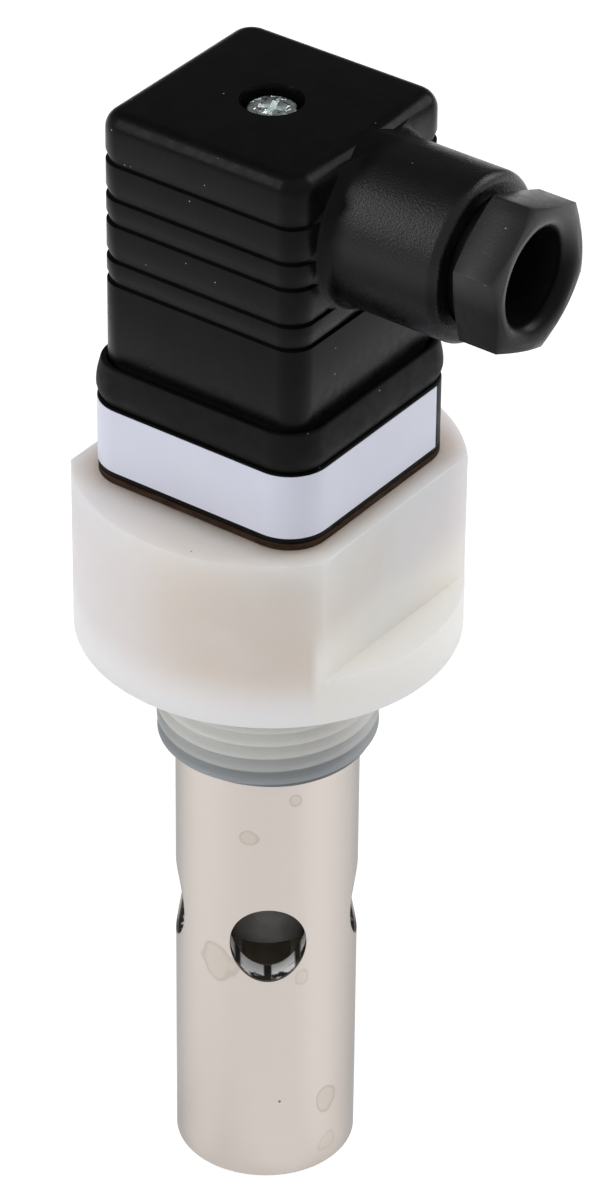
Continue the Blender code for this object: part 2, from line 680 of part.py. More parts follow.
def make_profile_gasket():
    """Moulded rubber band with an outer lip round the foot of the plug."""
    groove_in = PLUG_SIDE - 2 * BAND_BULGE
    groove_out = groove_in + 2 * BAND_GROOVE_WIDTH
    lip = BAND_SIDE - 2 * BAND_BULGE
    inner_corner = PLUG_CORNER
    square_stack("profile_gasket", [
        (BAND_OPENING, inner_corner, BAND_BOTTOM),
        (BASE_SIDE - 2 * BAND_BULGE, BASE_CORNER - BAND_BULGE, BAND_BOTTOM),
        (BAND_SIDE, BAND_CORNER, BAND_BOTTOM + BAND_FULL_FROM),
        (BAND_SIDE, BAND_CORNER, BAND_BOTTOM + BAND_FULL_TO),
        (lip, BAND_CORNER - BAND_BULGE, BAND_TOP),
        (groove_out, inner_corner + BAND_GROOVE_WIDTH, BAND_TOP),
        (groove_out, inner_corner + BAND_GROOVE_WIDTH, BAND_TOP - BAND_GROOVE_DEPTH),
        (groove_in, inner_corner, BAND_TOP - BAND_GROOVE_DEPTH),
        (groove_in, inner_corner, BAND_WEB_TOP),
        (BAND_OPENING, inner_corner, BAND_WEB_TOP),
    ], "black_rubber", hollow=True)


def plug_sections():
    """Outside of the plug from its foot to its rounded top, with a ledge at each rib."""
    sections = [(PLUG_SIDE, PLUG_CORNER, PLUG_BOTTOM)]
    for step in RIB_STEPS:
        height = PLUG_BOTTOM + step
        sections.append((PLUG_SIDE, PLUG_CORNER, height))
        sections.append((PLUG_SIDE - 2 * RIB_DEPTH, PLUG_CORNER - RIB_DEPTH, height))
        sections.append((PLUG_SIDE, PLUG_CORNER, height + RIB_TAPER))
    for i in range(TOP_ROUND_STEPS + 1):
        angle = i * math.pi / 2 / TOP_ROUND_STEPS
        inset = PLUG_TOP_ROUND * (1 - math.cos(angle))
        height = PLUG_TOP - PLUG_TOP_ROUND * (1 - math.sin(angle))
        sections.append((PLUG_SIDE - 2 * inset, PLUG_CORNER - inset, height))
    return sections


def make_plug_housing():
    """Square housing with ribs, the round collar of the gland and the boss of the fixing screw."""
    housing = square_stack("plug_housing", plug_sections(), "black_plastic")
    radius = COLLAR_DIAMETER / 2
    inside = PLUG_SIDE / 2 - PLUG_WALL
    outline = [(0, inside + CLEAR), (radius, inside + CLEAR), (radius, COLLAR_REACH - COLLAR_ROUND)]
    outline += [(radius - COLLAR_ROUND, COLLAR_REACH), (0, COLLAR_REACH)]
    shape(housing, along_gland(turned("collar", outline, sides=FINE)), "UNION")
    room = PLUG_SIDE - 2 * PLUG_WALL
    cavity = square_stack("cavity_cutter", [
        (room, PLUG_CORNER - PLUG_WALL, PLUG_BOTTOM - CLEAR),
        (room, PLUG_CORNER - PLUG_WALL, CEILING),
    ])
    shape(cavity, cylinder("boss", BOSS_DIAMETER / 2, BOSS_BOTTOM, PLUG_TOP))
    shape(housing, cavity)
    bore = [(0, inside - CLEAR), (CABLE_HOLE / 2, inside - CLEAR), (CABLE_HOLE / 2, GROMMET_SEAT)]
    grommet = GROMMET_DIAMETER / 2 + CLEAR
    thread = GLAND_THREAD_DIAMETER / 2
    bore += [(grommet, GROMMET_SEAT), (grommet, WASHER_END - CLEAR)]
    bore += [(thread, WASHER_END - CLEAR), (thread, COLLAR_REACH + CLEAR)]
    bore += [(0, COLLAR_REACH + CLEAR)]
    shape(housing, along_gland(turned("gland_cutter", bore)))
    passage = [(0, BOSS_BOTTOM - CLEAR), (SCREW_DIAMETER / 2 + CLEAR, BOSS_BOTTOM - CLEAR)]
    passage += [(SCREW_DIAMETER / 2 + CLEAR, RECESS_FLOOR), (RECESS_DIAMETER / 2, RECESS_FLOOR)]
    passage += [(RECESS_DIAMETER / 2, PLUG_TOP + CLEAR), (0, PLUG_TOP + CLEAR)]
    shape(housing, turned("screw_cutter", passage))


def make_contacts():
    """Contact carrier with a socket and a terminal screw for each pin."""
    side = PLUG_SIDE - 2 * PLUG_WALL - 2 * CLEAR
    carrier = square_stack("contact_carrier", [
        (side, PLUG_CORNER - PLUG_WALL, CARRIER_BOTTOM),
        (side, PLUG_CORNER - PLUG_WALL, CARRIER_TOP),
    ], "grey_plastic")
    opening = INSERT_DIAMETER / 2 + 2 * CLEAR
    shape(carrier, cylinder("carrier_cutter", opening, PLUG_BOTTOM, CARRIER_TOP + CLEAR))
    floor = CARRIER_BOTTOM + SOCKET_FLOOR
    inner = PIN_CIRCLE / 2 - SOCKET_THICKNESS / 2
    terminal = inner - TERMINAL_DEPTH
    terminal_top = CARRIER_TOP - SEAT
    terminal_bottom = terminal_top - TERMINAL_HEIGHT
    screw_radius = terminal + (TERMINAL_DEPTH + SOCKET_THICKNESS) / 2
    for name, angle in zip(PIN_NAMES, pin_angles()):
        shaft = (SOCKET_THICKNESS, SOCKET_WIDTH, CARRIER_TOP - floor)
        block = (TERMINAL_DEPTH + SOCKET_THICKNESS, TERMINAL_WIDTH, TERMINAL_HEIGHT)
        gap = Vector((2 * CLEAR, 2 * CLEAR, 2 * CLEAR))
        shaft_centre = (PIN_CIRCLE / 2, 0, (CARRIER_TOP + floor) / 2)
        block_centre = (screw_radius, 0, (terminal_top + terminal_bottom) / 2)
        shape(carrier, box(f"shaft_cutter_{name}", Vector(shaft) + gap, shaft_centre, turn=angle))
        shape(carrier, box(f"block_cutter_{name}", Vector(block) + gap, block_centre, turn=angle))
        entry = (PIN_THICKNESS + 2 * CLEAR, PIN_WIDTH + 2 * CLEAR, CARRIER_HEIGHT)
        entry_cutter = box(f"entry_cutter_{name}", entry, (PIN_CIRCLE / 2, 0, CARRIER_BOTTOM), turn=angle)
        shape(carrier, entry_cutter)
        make_socket(name, angle, floor, terminal_bottom, terminal_top, screw_radius)


def make_socket(name, angle, floor, terminal_bottom, terminal_top, screw_radius):
    """Brass socket for one pin with its clamp block, and the screw that clamps a wire."""
    height = terminal_top - floor
    socket = box(f"socket_{name}", (SOCKET_THICKNESS, SOCKET_WIDTH, height),
                 (PIN_CIRCLE / 2, 0, floor + height / 2), "brass", angle)
    size = (TERMINAL_DEPTH + SOCKET_THICKNESS, TERMINAL_WIDTH, TERMINAL_HEIGHT)
    centre = (screw_radius, 0, (terminal_bottom + terminal_top) / 2)
    block = box(f"terminal_{name}", size, centre, turn=angle)
    shape(socket, block, "UNION")
    blade = BASE_TOP + PIN_RISE + CLEAR
    slot_size = (PIN_THICKNESS + 2 * CLEAR, PIN_WIDTH + 2 * CLEAR, 2 * (blade - floor))
    shape(socket, box(f"blade_cutter_{name}", slot_size, (PIN_CIRCLE / 2, 0, floor), turn=angle))
    x = screw_radius * math.cos(angle)
    y = screw_radius * math.sin(angle)
    shank = TERMINAL_SCREW_DIAMETER / 2
    tip = terminal_top - TERMINAL_SCREW_DEPTH
    bottom = tip - CLEAR
    hole = cylinder(f"terminal_cutter_{name}", shank + CLEAR, bottom, terminal_top + CLEAR, sides=SMALL)
    hole.location = (x, y, 0)
    shape(socket, hole)
    under = terminal_top + SEAT
    head = TERMINAL_SCREW_HEAD / 2
    top = under + TERMINAL_SCREW_HEAD_HEIGHT
    outline = [(0, tip), (shank, tip), (shank, under), (head, under), (head, top), (0, top)]
    screw = turned(f"terminal_screw_{name}", outline, "zinc", SMALL)
    slot = box(f"terminal_slot_{name}", (2 * TERMINAL_SCREW_HEAD, SLOT_WIDTH, 2 * SLOT_DEPTH), (0, 0, top))
    shape(screw, slot)
    screw.location = (x, y, 0)
    slot.location = (x, y, 0)


def make_fixing_screw():
    """Long cross-head screw that holds the plug to the insert, and its seal."""
    shank = SCREW_DIAMETER / 2
    head = SCREW_HEAD_DIAMETER / 2
    under = SCREW_HEAD_TOP - SCREW_HEAD_HEIGHT
    tip = INSERT_TOP - SCREW_ENGAGED
    outline = [(0, tip), (shank, tip), (shank, under), (head, under)]
    outline += [(head, SCREW_HEAD_TOP - SCREW_HEAD_CHAMFER)]
    outline += [(head - SCREW_HEAD_CHAMFER / 2, SCREW_HEAD_TOP), (0, SCREW_HEAD_TOP)]
    screw = turned("fixing_screw", outline, "zinc")
    shape(screw, cross_cutter("cross_cutter"))
    tube("screw_seal", shank + CLEAR, head, RECESS_FLOOR + SEAT, under - SEAT, "black_rubber")


def cross_cutter(name):
    """A plus-shaped bar for the driver recess of the fixing screw."""
    mesh = bmesh.new()
    reach = SCREW_RECESS_WIDTH / 2
    half = SCREW_RECESS_SLOT / 2
    arm = [(reach, -half), (reach, half), (half, half)]
    ends = []
    for height in (SCREW_HEAD_TOP - SCREW_RECESS_DEPTH, SCREW_HEAD_TOP + CLEAR):
        points = []
        for quarter in range(4):
            angle = quarter * math.pi / 2
            for x, y in arm:
                along = x * math.cos(angle) - y * math.sin(angle)
                across = x * math.sin(angle) + y * math.cos(angle)
                points.append(mesh.verts.new((along, across, height)))
        ends.append(points)
        mesh.faces.new(points)
    join_rings(mesh, ends[0], ends[1])
    return add_object(name, mesh)


def make_gland():
    """Grommet, washer and hexagonal pressing screw of the cable gland."""
    grommet = tube("gland_grommet", GROMMET_BORE / 2, GROMMET_DIAMETER / 2,
                   GROMMET_SEAT + SEAT, WASHER_END - SEAT, "black_rubber")
    washer = tube("gland_washer", GLAND_WASHER_BORE / 2, GROMMET_DIAMETER / 2,
                  WASHER_END, WASHER_END + GLAND_WASHER_THICKNESS, "zinc")
    corner = GLAND_CORNER_DIAMETER / 2
    nut = cylinder("gland_nut", corner, NUT_BACK, NUT_FRONT, "black_plastic", HEX_SIDES)
    flat = corner * math.cos(math.pi / HEX_SIDES)
    limit = [(0, NUT_BACK), (flat, NUT_BACK), (corner, NUT_BACK + GLAND_CHAMFER / 2)]
    limit += [(corner, NUT_FRONT - GLAND_CHAMFER), (flat - GLAND_CHAMFER / 2, NUT_FRONT), (0, NUT_FRONT)]
    envelope = turned("nut_envelope", limit, sides=FINE)
    thread = GLAND_THREAD_DIAMETER / 2 - CLEAR
    shank = cylinder("nut_shank", thread, SHANK_END, NUT_BACK + CLEAR)
    bore = GLAND_BORE / 2
    mouth = [(0, SHANK_END - CLEAR), (bore, SHANK_END - CLEAR), (bore, NUT_FRONT - GLAND_MOUTH_DEPTH)]
    mouth += [(GLAND_MOUTH / 2, NUT_FRONT), (GLAND_MOUTH / 2, NUT_FRONT + CLEAR), (0, NUT_FRONT + CLEAR)]
    cutter = turned("nut_bore", mouth)
    shape(nut, envelope, "INTERSECT")
    shape(nut, shank, "UNION")
    shape(nut, cutter)
    for piece in (grommet, washer):
        along_gland(piece)
    for piece in (nut, envelope, shank, cutter):
        along_gland(piece, GLAND_TURN)


def main():
    clear_scene()
    make_probe_body()
    make_outer_electrode()
    make_insulator()
    make_inner_electrode()
    make_contact_pin()
    make_leads()
    make_connector_base()
    make_pins()
    make_profile_gasket()
    make_plug_housing()
    make_contacts()
    make_fixing_screw()
    make_gland()


main()
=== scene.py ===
import math

import bmesh
import bpy
from mathutils import Matrix, Vector


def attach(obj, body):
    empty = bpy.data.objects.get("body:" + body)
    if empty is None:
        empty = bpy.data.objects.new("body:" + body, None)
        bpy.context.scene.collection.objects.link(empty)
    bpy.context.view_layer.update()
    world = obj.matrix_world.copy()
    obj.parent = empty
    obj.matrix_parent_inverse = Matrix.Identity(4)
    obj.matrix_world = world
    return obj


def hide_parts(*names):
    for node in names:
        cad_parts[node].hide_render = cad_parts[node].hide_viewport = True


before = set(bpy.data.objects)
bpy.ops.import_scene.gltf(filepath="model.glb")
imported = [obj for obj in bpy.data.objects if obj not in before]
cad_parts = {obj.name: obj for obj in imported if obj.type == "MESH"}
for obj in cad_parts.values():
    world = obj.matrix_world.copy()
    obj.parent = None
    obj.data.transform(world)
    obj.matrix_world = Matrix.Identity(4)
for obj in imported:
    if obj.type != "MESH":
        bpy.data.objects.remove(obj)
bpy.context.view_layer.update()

# Head: natural white plastic bar, turned on a lathe to a disc with a flange, then milled to two
# wrench flats. The rounded pipe thread under it is cut in the same piece and screws into the pipe.
MM = 0.001
MERGE = 0.001 * MM
FINE_MERGE = 0.0001 * MM
SHARP = math.radians(32)
FRONT = math.radians(35.87)
HEAD_RADIUS = 22.85 * MM
HEAD_TOP = 22.2 * MM
HEAD_EDGE = 0.35 * MM
FLANGE_TOP = 6.0 * MM
FLAT_REACH = 18.0 * MM
CAVITY_RADIUS = 12.6 * MM
WEB_TOP = 3.0 * MM
WEB_BOTTOM = -4.3 * MM
NECK_RADIUS = 5.0 * MM
SPIGOT_ROOM_RADIUS = 9.5 * MM
THREAD_RADIUS = 13.2 * MM
THREAD_DEPTH = 1.16 * MM
THREAD_PITCH = 1.814 * MM
THREAD_END = -15.9 * MM
THREAD_CHAMFER = 0.9 * MM
THREAD_CORE = 11.9 * MM
THREAD_SLACK = 0.1 * MM
THREAD_STEPS = 160
THREAD_POINTS = 10
THREAD_TURNS = 11
BASE_SCREW_PLACE = 10.8 * MM
BASE_SCREW_HOLE = 1.8 * MM
BASE_SCREW_FLOOR = 14.6 * MM
BASE_SCREW_PLACES = [
    (x, y) for x in (-BASE_SCREW_PLACE, BASE_SCREW_PLACE) for y in (-BASE_SCREW_PLACE, BASE_SCREW_PLACE)]
HEAD_WHITE = (0.77, 0.715, 0.675)
HEAD_PATCH = (0.73, 0.665, 0.61)
# Painted light: a paler tone for the head's flanks either side of the front.
HEAD_FLANK_PAINTED_LIGHT = (0.765, 0.72, 0.725)
# Painted light: a paler tone for the flange, for the light thrown up on it from the floor.
FLANGE_PAINTED_BOUNCE_LIGHT = (0.88, 0.84, 0.835)
# Painted light: a lighter tone for the foot of each flat, against the shade in its corner.
FLAT_CORNER_PAINTED_LIGHT = (0.95, 0.865, 0.80)
# A darker, browner tone for the head's top next to the gasket.
NEAR_GASKET_BROWN = (0.60, 0.52, 0.42)
THREAD_WHITE = (0.71, 0.71, 0.68)
THREAD_PATCH = (0.67, 0.67, 0.65)
# Painted shade: a darker grey for the lower end of the thread.
THREAD_PAINTED_SHADE = (0.285, 0.31, 0.325)
THREAD_PAINTED_SHADE_FROM = -9.0 * MM
PLASTIC_SPECK = (0.22, 0.19, 0.17)
SOAK_DEPTH = 16 * MM
SOAK_COLOUR = (1.0, 0.8, 0.7)


def spun(outline, steps=160):
    """A solid turned about Z from a closed outline of (radius, height) points."""
    mesh = bmesh.new()
    points = [mesh.verts.new((radius, 0, height)) for radius, height in outline]
    pairs = zip(points, points[1:] + points[:1])
    edges = [mesh.edges.new(pair) for pair in pairs if max(pair[0].co.x, pair[1].co.x) > 0]
    bmesh.ops.spin(
        mesh, geom=points + edges, cent=(0, 0, 0), axis=(0, 0, 1), angle=2 * math.pi, steps=steps,
        use_merge=True)
    bmesh.ops.remove_doubles(mesh, verts=mesh.verts, dist=FINE_MERGE)
    bmesh.ops.recalc_face_normals(mesh, faces=mesh.faces)
    return mesh


def rod_between(radius, bottom, top, steps=64, place=(0, 0)):
    """A plain round bar along Z, used to drill and to bore."""
    mesh = spun([(0, bottom), (radius, bottom), (radius, top), (0, top)], steps)
    bmesh.ops.translate(mesh, vec=(*place, 0), verts=mesh.verts)
    return mesh


def block(size, centre):
    """A plain box, used to mill flats and slots."""
    mesh = bmesh.new()
    bmesh.ops.create_cube(mesh, size=1)
    bmesh.ops.scale(mesh, vec=size, verts=mesh.verts)
    bmesh.ops.translate(mesh, vec=centre, verts=mesh.verts)
    return mesh


def sliced(mesh, place, normal, clear=False):
    """Cuts a shape along a plane, and takes away what lies past it where that is asked."""
    every = mesh.verts[:] + mesh.edges[:] + mesh.faces[:]
    bmesh.ops.bisect_plane(mesh, geom=every, plane_co=place, plane_no=normal, clear_outer=clear)


def closed(mesh):
    """Fills the open ends of a shape and turns its faces outwards."""
    bmesh.ops.holes_fill(mesh, edges=mesh.edges[:], sides=0)
    bmesh.ops.recalc_face_normals(mesh, faces=mesh.faces)


def made(name, mesh):
    """An object from a bmesh, with its place in its mesh."""
    data = bpy.data.meshes.new(name)
    mesh.to_mesh(data)
    mesh.free()
    piece = bpy.data.objects.new(name, data)
    bpy.context.scene.collection.objects.link(piece)
    return piece


def settle(piece):
    """Keeps what a piece's modifiers make of it as its own mesh, without doubles or slivers."""
    graph = bpy.context.evaluated_depsgraph_get()
    old = piece.data
    piece.data = bpy.data.meshes.new_from_object(piece.evaluated_get(graph))
    piece.modifiers.clear()
    bpy.data.meshes.remove(old)
    mesh = bmesh.new()
    mesh.from_mesh(piece.data)
    bmesh.ops.remove_doubles(mesh, verts=mesh.verts, dist=MERGE)
    bmesh.ops.dissolve_degenerate(mesh, edges=mesh.edges, dist=MERGE)
    mesh.to_mesh(piece.data)
    mesh.free()


def carve(piece, mesh, operation="DIFFERENCE"):
    """Cuts, joins or crosses a piece with a helper shape, which is then gone."""
    helper = made("helper", mesh)
    change = piece.modifiers.new("carve", "BOOLEAN")
    change.operation = operation
    change.object = helper
    settle(piece)
    bpy.data.objects.remove(helper)


def soften(piece, width, angle=38, segments=3):
    """Rounds the edges of a piece that are sharper than an angle in degrees."""
    rounding = piece.modifiers.new("soften", "BEVEL")
    rounding.width = width
    rounding.segments = segments
    rounding.limit_method = "ANGLE"
    rounding.angle_limit = math.radians(angle)
    settle(piece)


def dress(piece, finish, body, slot, *nodes):
    """Gives a piece its material and smooth shading, and ties it to the model."""
    piece.data.materials.clear()
    piece.data.materials.append(finish)
    piece.data.shade_smooth()
    piece.data.set_sharp_from_angle(angle=SHARP)
    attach(piece, body)
    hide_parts(*nodes)


def new_finish(name):
    """A material with its node tree and its shader."""
    finish = bpy.data.materials.new(name)
    finish.use_nodes = True
    return finish, finish.node_tree, finish.node_tree.nodes["Principled BSDF"]


def node(tree, kind, values=(), **settings):
    """A node with its input values and its own settings."""
    new = tree.nodes.new("ShaderNode" + kind)
    for key, value in settings.items():
        setattr(new, key, value)
    for key, value in dict(values).items():
        new.inputs[key].default_value = value
    return new


def put(tree, value, socket):
    """Links a socket, or sets a plain value or colour."""
    if isinstance(value, bpy.types.NodeSocket):
        tree.links.new(value, socket)
    else:
        socket.default_value = (*value, 1) if isinstance(value, tuple) else value


def own_place(tree):
    """Where a point lies on its own piece."""
    return node(tree, "TexCoord").outputs["Object"]


def reckoned(tree, operation, first, second=0.0):
    """The result of one step of arithmetic on two values."""
    step = node(tree, "Math", operation=operation)
    put(tree, first, step.inputs[0])
    put(tree, second, step.inputs[1])
    return step.outputs[0]


def measured(tree, place, direction):
    """How far a place lies along a direction."""
    along = node(tree, "VectorMath", {1: direction}, operation="DOT_PRODUCT")
    put(tree, place, along.inputs[0])
    return along.outputs["Value"]


def height_on(tree):
    """The height of a point on its own piece."""
    return measured(tree, own_place(tree), (0, 0, 1))


def aside(tree, place, angle):
    """How far a place lies to either side of the axis, along a level direction."""
    return reckoned(tree, "ABSOLUTE", measured(tree, place, (math.cos(angle), math.sin(angle), 0)))


def noise(tree, scale, detail=3.0, stretch=(1, 1, 1)):
    """Cloudy noise on a piece's own coordinates, in cells per metre, stretched along an axis."""
    mapping = node(tree, "Mapping", {"Scale": stretch})
    clouds = node(tree, "TexNoise", {"Scale": scale, "Detail": detail})
    put(tree, own_place(tree), mapping.inputs["Vector"])
    put(tree, mapping.outputs["Vector"], clouds.inputs["Vector"])
    return clouds.outputs["Fac"]


def ranged(tree, value, low, high, to_low=0.0, to_high=1.0):
    """A value stretched from one range to another, softly and clamped."""
    span = node(tree, "MapRange", interpolation_type="SMOOTHSTEP")
    limits = {"Value": value, "From Min": low, "From Max": high, "To Min": to_low, "To Max": to_high}
    for key, given in limits.items():
        put(tree, given, span.inputs[key])
    return span.outputs["Result"]


def mixed(tree, share, first, second):
    """A colour that runs from the first to the second."""
    mix = node(tree, "Mix", data_type="RGBA")
    for value, socket in ((share, mix.inputs[0]), (first, mix.inputs[6]), (second, mix.inputs[7])):
        put(tree, value, socket)
    return mix.outputs[2]


def bumped(tree, height, depth):
    """A surface normal raised by a height, with its full depth in metres."""
    bump = node(tree, "Bump", {"Strength": 1.0})
    put(tree, height, bump.inputs["Height"])
    put(tree, depth, bump.inputs["Distance"])
    return bump.outputs["Normal"]


specks = bpy.data.node_groups.new("scattered_specks", "ShaderNodeTree")
for label in ("Scale", "Size", "Share"):
    specks.interface.new_socket(label, in_out="INPUT", socket_type="NodeSocketFloat")
specks.interface.new_socket("Mask", in_out="OUTPUT", socket_type="NodeSocketFloat")
speck_in = specks.nodes.new("NodeGroupInput").outputs
speck_out = specks.nodes.new("NodeGroupOutput").inputs
cells = node(specks, "TexVoronoi")
put(specks, own_place(specks), cells.inputs["Vector"])
put(specks, speck_in["Scale"], cells.inputs["Scale"])
near_middle = reckoned(specks, "LESS_THAN", cells.outputs["Distance"], speck_in["Size"])
kept = reckoned(specks, "LESS_THAN", cells.outputs["Color"], speck_in["Share"])
put(specks, reckoned(specks, "MULTIPLY", near_middle, kept), speck_out["Mask"])


def scattered(tree, scale, size, share):
    """A mask of small specks: cells per metre, speck size in cells, and share of cells with one."""
    values = {"Scale": scale, "Size": size, "Share": share}
    return node(tree, "Group", values, node_tree=specks).outputs["Mask"]


def natural_plastic(name, colour, patch):
    """Milky machined plastic with faint patches, dark specks and turning marks."""
    finish, tree, shader = new_finish(name)
    patches = ranged(tree, noise(tree, scale=55), low=0.42, high=0.66)
    base = mixed(tree, patches, colour, patch)
    base = mixed(tree, scattered(tree, scale=330, size=0.045, share=0.3), base, PLASTIC_SPECK)
    gloss = ranged(tree, noise(tree, scale=420), 0.3, 0.7, to_low=0.36, to_high=0.5)
    turning_marks = noise(tree, scale=60, detail=4, stretch=(1, 1, 45))
    put(tree, gloss, shader.inputs["Roughness"])
    put(tree, bumped(tree, turning_marks, depth=0.01 * MM), shader.inputs["Normal"])
    shader.inputs["Specular IOR Level"].default_value = 0.3
    return finish, tree, shader, base


head = made("head", spun([
    (CAVITY_RADIUS, HEAD_TOP), (HEAD_RADIUS, HEAD_TOP), (HEAD_RADIUS, 0), (THREAD_CORE, 0),
    (THREAD_CORE, THREAD_END), (SPIGOT_ROOM_RADIUS, THREAD_END), (SPIGOT_ROOM_RADIUS, WEB_BOTTOM),
    (NECK_RADIUS, WEB_BOTTOM), (NECK_RADIUS, WEB_TOP), (CAVITY_RADIUS, WEB_TOP),
]))
waste = HEAD_RADIUS
for side in (-1, 1):
    middle = (side * (FLAT_REACH + waste / 2), 0, FLANGE_TOP + HEAD_TOP)
    carve(head, block((waste, 4 * waste, 2 * HEAD_TOP), middle))
soften(head, HEAD_EDGE)
for place in BASE_SCREW_PLACES:
    carve(head, rod_between(BASE_SCREW_HOLE, BASE_SCREW_FLOOR, HEAD_TOP + MM, 32, place))

winding = bmesh.new()
crests = []
for i in range(THREAD_TURNS * THREAD_POINTS + 1):
    wave = math.cos(2 * math.pi * i / THREAD_POINTS)
    drop = i * THREAD_PITCH / THREAD_POINTS
    radius = THREAD_RADIUS - THREAD_DEPTH * (1 - wave) / 2
    crests.append(winding.verts.new((radius, 0, THREAD_PITCH - drop)))
links = [winding.edges.new(pair) for pair in zip(crests, crests[1:])]
bmesh.ops.spin(
    winding, geom=crests + links, cent=(0, 0, 0), axis=(0, 0, 1), angle=2 * math.pi,
    steps=THREAD_STEPS, dvec=(0, 0, THREAD_PITCH / THREAD_STEPS), use_merge=False)
bmesh.ops.remove_doubles(winding, verts=winding.verts, dist=MERGE)
for height, way in ((HEAD_EDGE, 1), (THREAD_END, -1)):
    sliced(winding, (0, 0, height), (0, 0, way), clear=True)
closed(winding)
thread = made("head_thread", winding)
carve(thread, spun([
    (SPIGOT_ROOM_RADIUS, THREAD_END), (THREAD_RADIUS - THREAD_CHAMFER, THREAD_END),
    (THREAD_RADIUS + THREAD_SLACK, THREAD_END + THREAD_CHAMFER),
    (THREAD_RADIUS + THREAD_SLACK, HEAD_EDGE), (SPIGOT_ROOM_RADIUS, HEAD_EDGE),
]), "INTERSECT")

head_plastic, tree, shader, base = natural_plastic("natural_white_plastic", HEAD_WHITE, HEAD_PATCH)
place = own_place(tree)
height = height_on(tree)
# Painted light: the flanks to either side of the front are painted paler, for the side light falling on them.
base = mixed(tree, ranged(tree, aside(tree, place, FRONT), 9 * MM, 22 * MM), base, HEAD_FLANK_PAINTED_LIGHT)
# Painted light: the flange is painted paler, for the light that the floor throws up on it.
base = mixed(tree, ranged(tree, height, FLANGE_TOP + 2 * MM, MM), base, FLANGE_PAINTED_BOUNCE_LIGHT)
# Painted light: the foot of each flat and the ledge under it are painted lighter, to cancel the shade in the
# corner between them.
on_flat = ranged(tree, aside(tree, place, 0), FLAT_REACH - MM, FLAT_REACH - 0.2 * MM)
low = ranged(tree, height, FLANGE_TOP + 9 * MM, FLANGE_TOP + 0.8 * MM)
base = mixed(tree, reckoned(tree, "MULTIPLY", on_flat, low), base, FLAT_CORNER_PAINTED_LIGHT)
# The top is coloured darker and browner towards the gasket.
from_gasket = reckoned(tree, "MAXIMUM", aside(tree, place, 0), aside(tree, place, math.pi / 2))
near_gasket = ranged(tree, from_gasket, 15.3 * MM, 18.6 * MM, to_low=0.4, to_high=0.0)
on_top = ranged(tree, height, HEAD_TOP - 0.6 * MM, HEAD_TOP - 0.1 * MM)
base = mixed(tree, reckoned(tree, "MULTIPLY", on_top, near_gasket), base, NEAR_GASKET_BROWN)
put(tree, base, shader.inputs["Base Color"])
shader.inputs["Subsurface Weight"].default_value = 1.0
shader.inputs["Subsurface Radius"].default_value = SOAK_COLOUR
shader.inputs["Subsurface Scale"].default_value = SOAK_DEPTH
dress(head, head_plastic, "probe", "white_plastic", "probe_body")
thread_plastic, tree, shader, base = natural_plastic("thread_plastic", THREAD_WHITE, THREAD_PATCH)
# Painted shade: the thread is painted darker and greyer towards its lower end.
shade = ranged(tree, height_on(tree), THREAD_PAINTED_SHADE_FROM, THREAD_END)
put(tree, mixed(tree, shade, base, THREAD_PAINTED_SHADE), shader.inputs["Base Color"])
dress(thread, thread_plastic, "probe", "white_plastic")

# Outer electrode: a thick tube turned from stainless steel bar, with four oblong holes milled
# across it so that water flows through. Its spigot screws into the head against a round seal.
TUBE_RADIUS = 11.0 * MM
TUBE_BORE = 7.5 * MM
TUBE_TOP = -16.0 * MM
TUBE_END = -76.0 * MM
TUBE_EDGE = 0.3 * MM
TUBE_RINGS = 24
SPIGOT_RADIUS = 9.2 * MM
SPIGOT_TOP = -4.7 * MM
HOLE_WIDTH = 9.2 * MM
HOLE_HEIGHT = 10.8 * MM
HOLE_PLACE = -40.4 * MM
HOLE_ANGLE = math.radians(-52.5)
HOLE_ANGLES = (HOLE_ANGLE, HOLE_ANGLE + math.pi / 2)
STEEL = (0.555, 0.507, 0.467)
STEEL_LINES = (0.559, 0.511, 0.471)
STEEL_GLANCE = (0.50, 0.52, 0.535, 1)
STEEL_SPECK = (0.16, 0.14, 0.12)
TUBE_ROUGH = 0.33
WALL_ROUGH = 0.16
# Painted reflection for the walls of the cross holes: near white, with dark bands.
WALL_PAINTED_REFLECTION = (0.97, 0.97, 0.96)
WALL_PAINTED_DARK_REFLECTION = (0.03, 0.028, 0.026)
# A darker tone for the inside of the bore.
BORE_DARKER = (0.32, 0.30, 0.265)
MARK_INSIDE = (0.51, 0.46, 0.41)
MARK_RIM = (0.43, 0.385, 0.335)
# Dried water marks: degrees round the tube, height and radius in millimetres, and strength.
WATER_MARKS = (
    (-36, -19.0, 1.0, 0.9), (-65, -24.4, 1.3, 0.8), (-87, -43.6, 3.0, 0.7), (-31, -45.4, 1.2, 0.5),
    (-10, -66.1, 1.8, 0.9), (-11, -72.8, 1.5, 0.4), (60, -30.0, 2.4, 0.5), (150, -58.0, 2.0, 0.5))


def oval_bar(width, height, reach):
    """A bar of oval section along X, used to mill the cross holes."""
    mesh = bmesh.new()
    upright = Matrix.Rotation(math.pi / 2, 4, "Y")
    bmesh.ops.create_circle(mesh, cap_ends=True, segments=72, radius=0.5, matrix=upright)
    bmesh.ops.translate(mesh, vec=(-reach, 0, 0), verts=mesh.verts)
    grown = bmesh.ops.extrude_face_region(mesh, geom=mesh.faces[:])["geom"]
    far = [item for item in grown if isinstance(item, bmesh.types.BMVert)]
    bmesh.ops.translate(mesh, vec=(2 * reach, 0, 0), verts=far)
    bmesh.ops.scale(mesh, vec=(1, width, height), verts=mesh.verts)
    bmesh.ops.recalc_face_normals(mesh, faces=mesh.faces)
    return mesh


def turned(mesh, angle, axis="Z"):
    """Turns a shape about an axis through the origin."""
    turn = Matrix.Rotation(angle, 3, axis)
    bmesh.ops.rotate(mesh, cent=(0, 0, 0), matrix=turn, verts=mesh.verts)


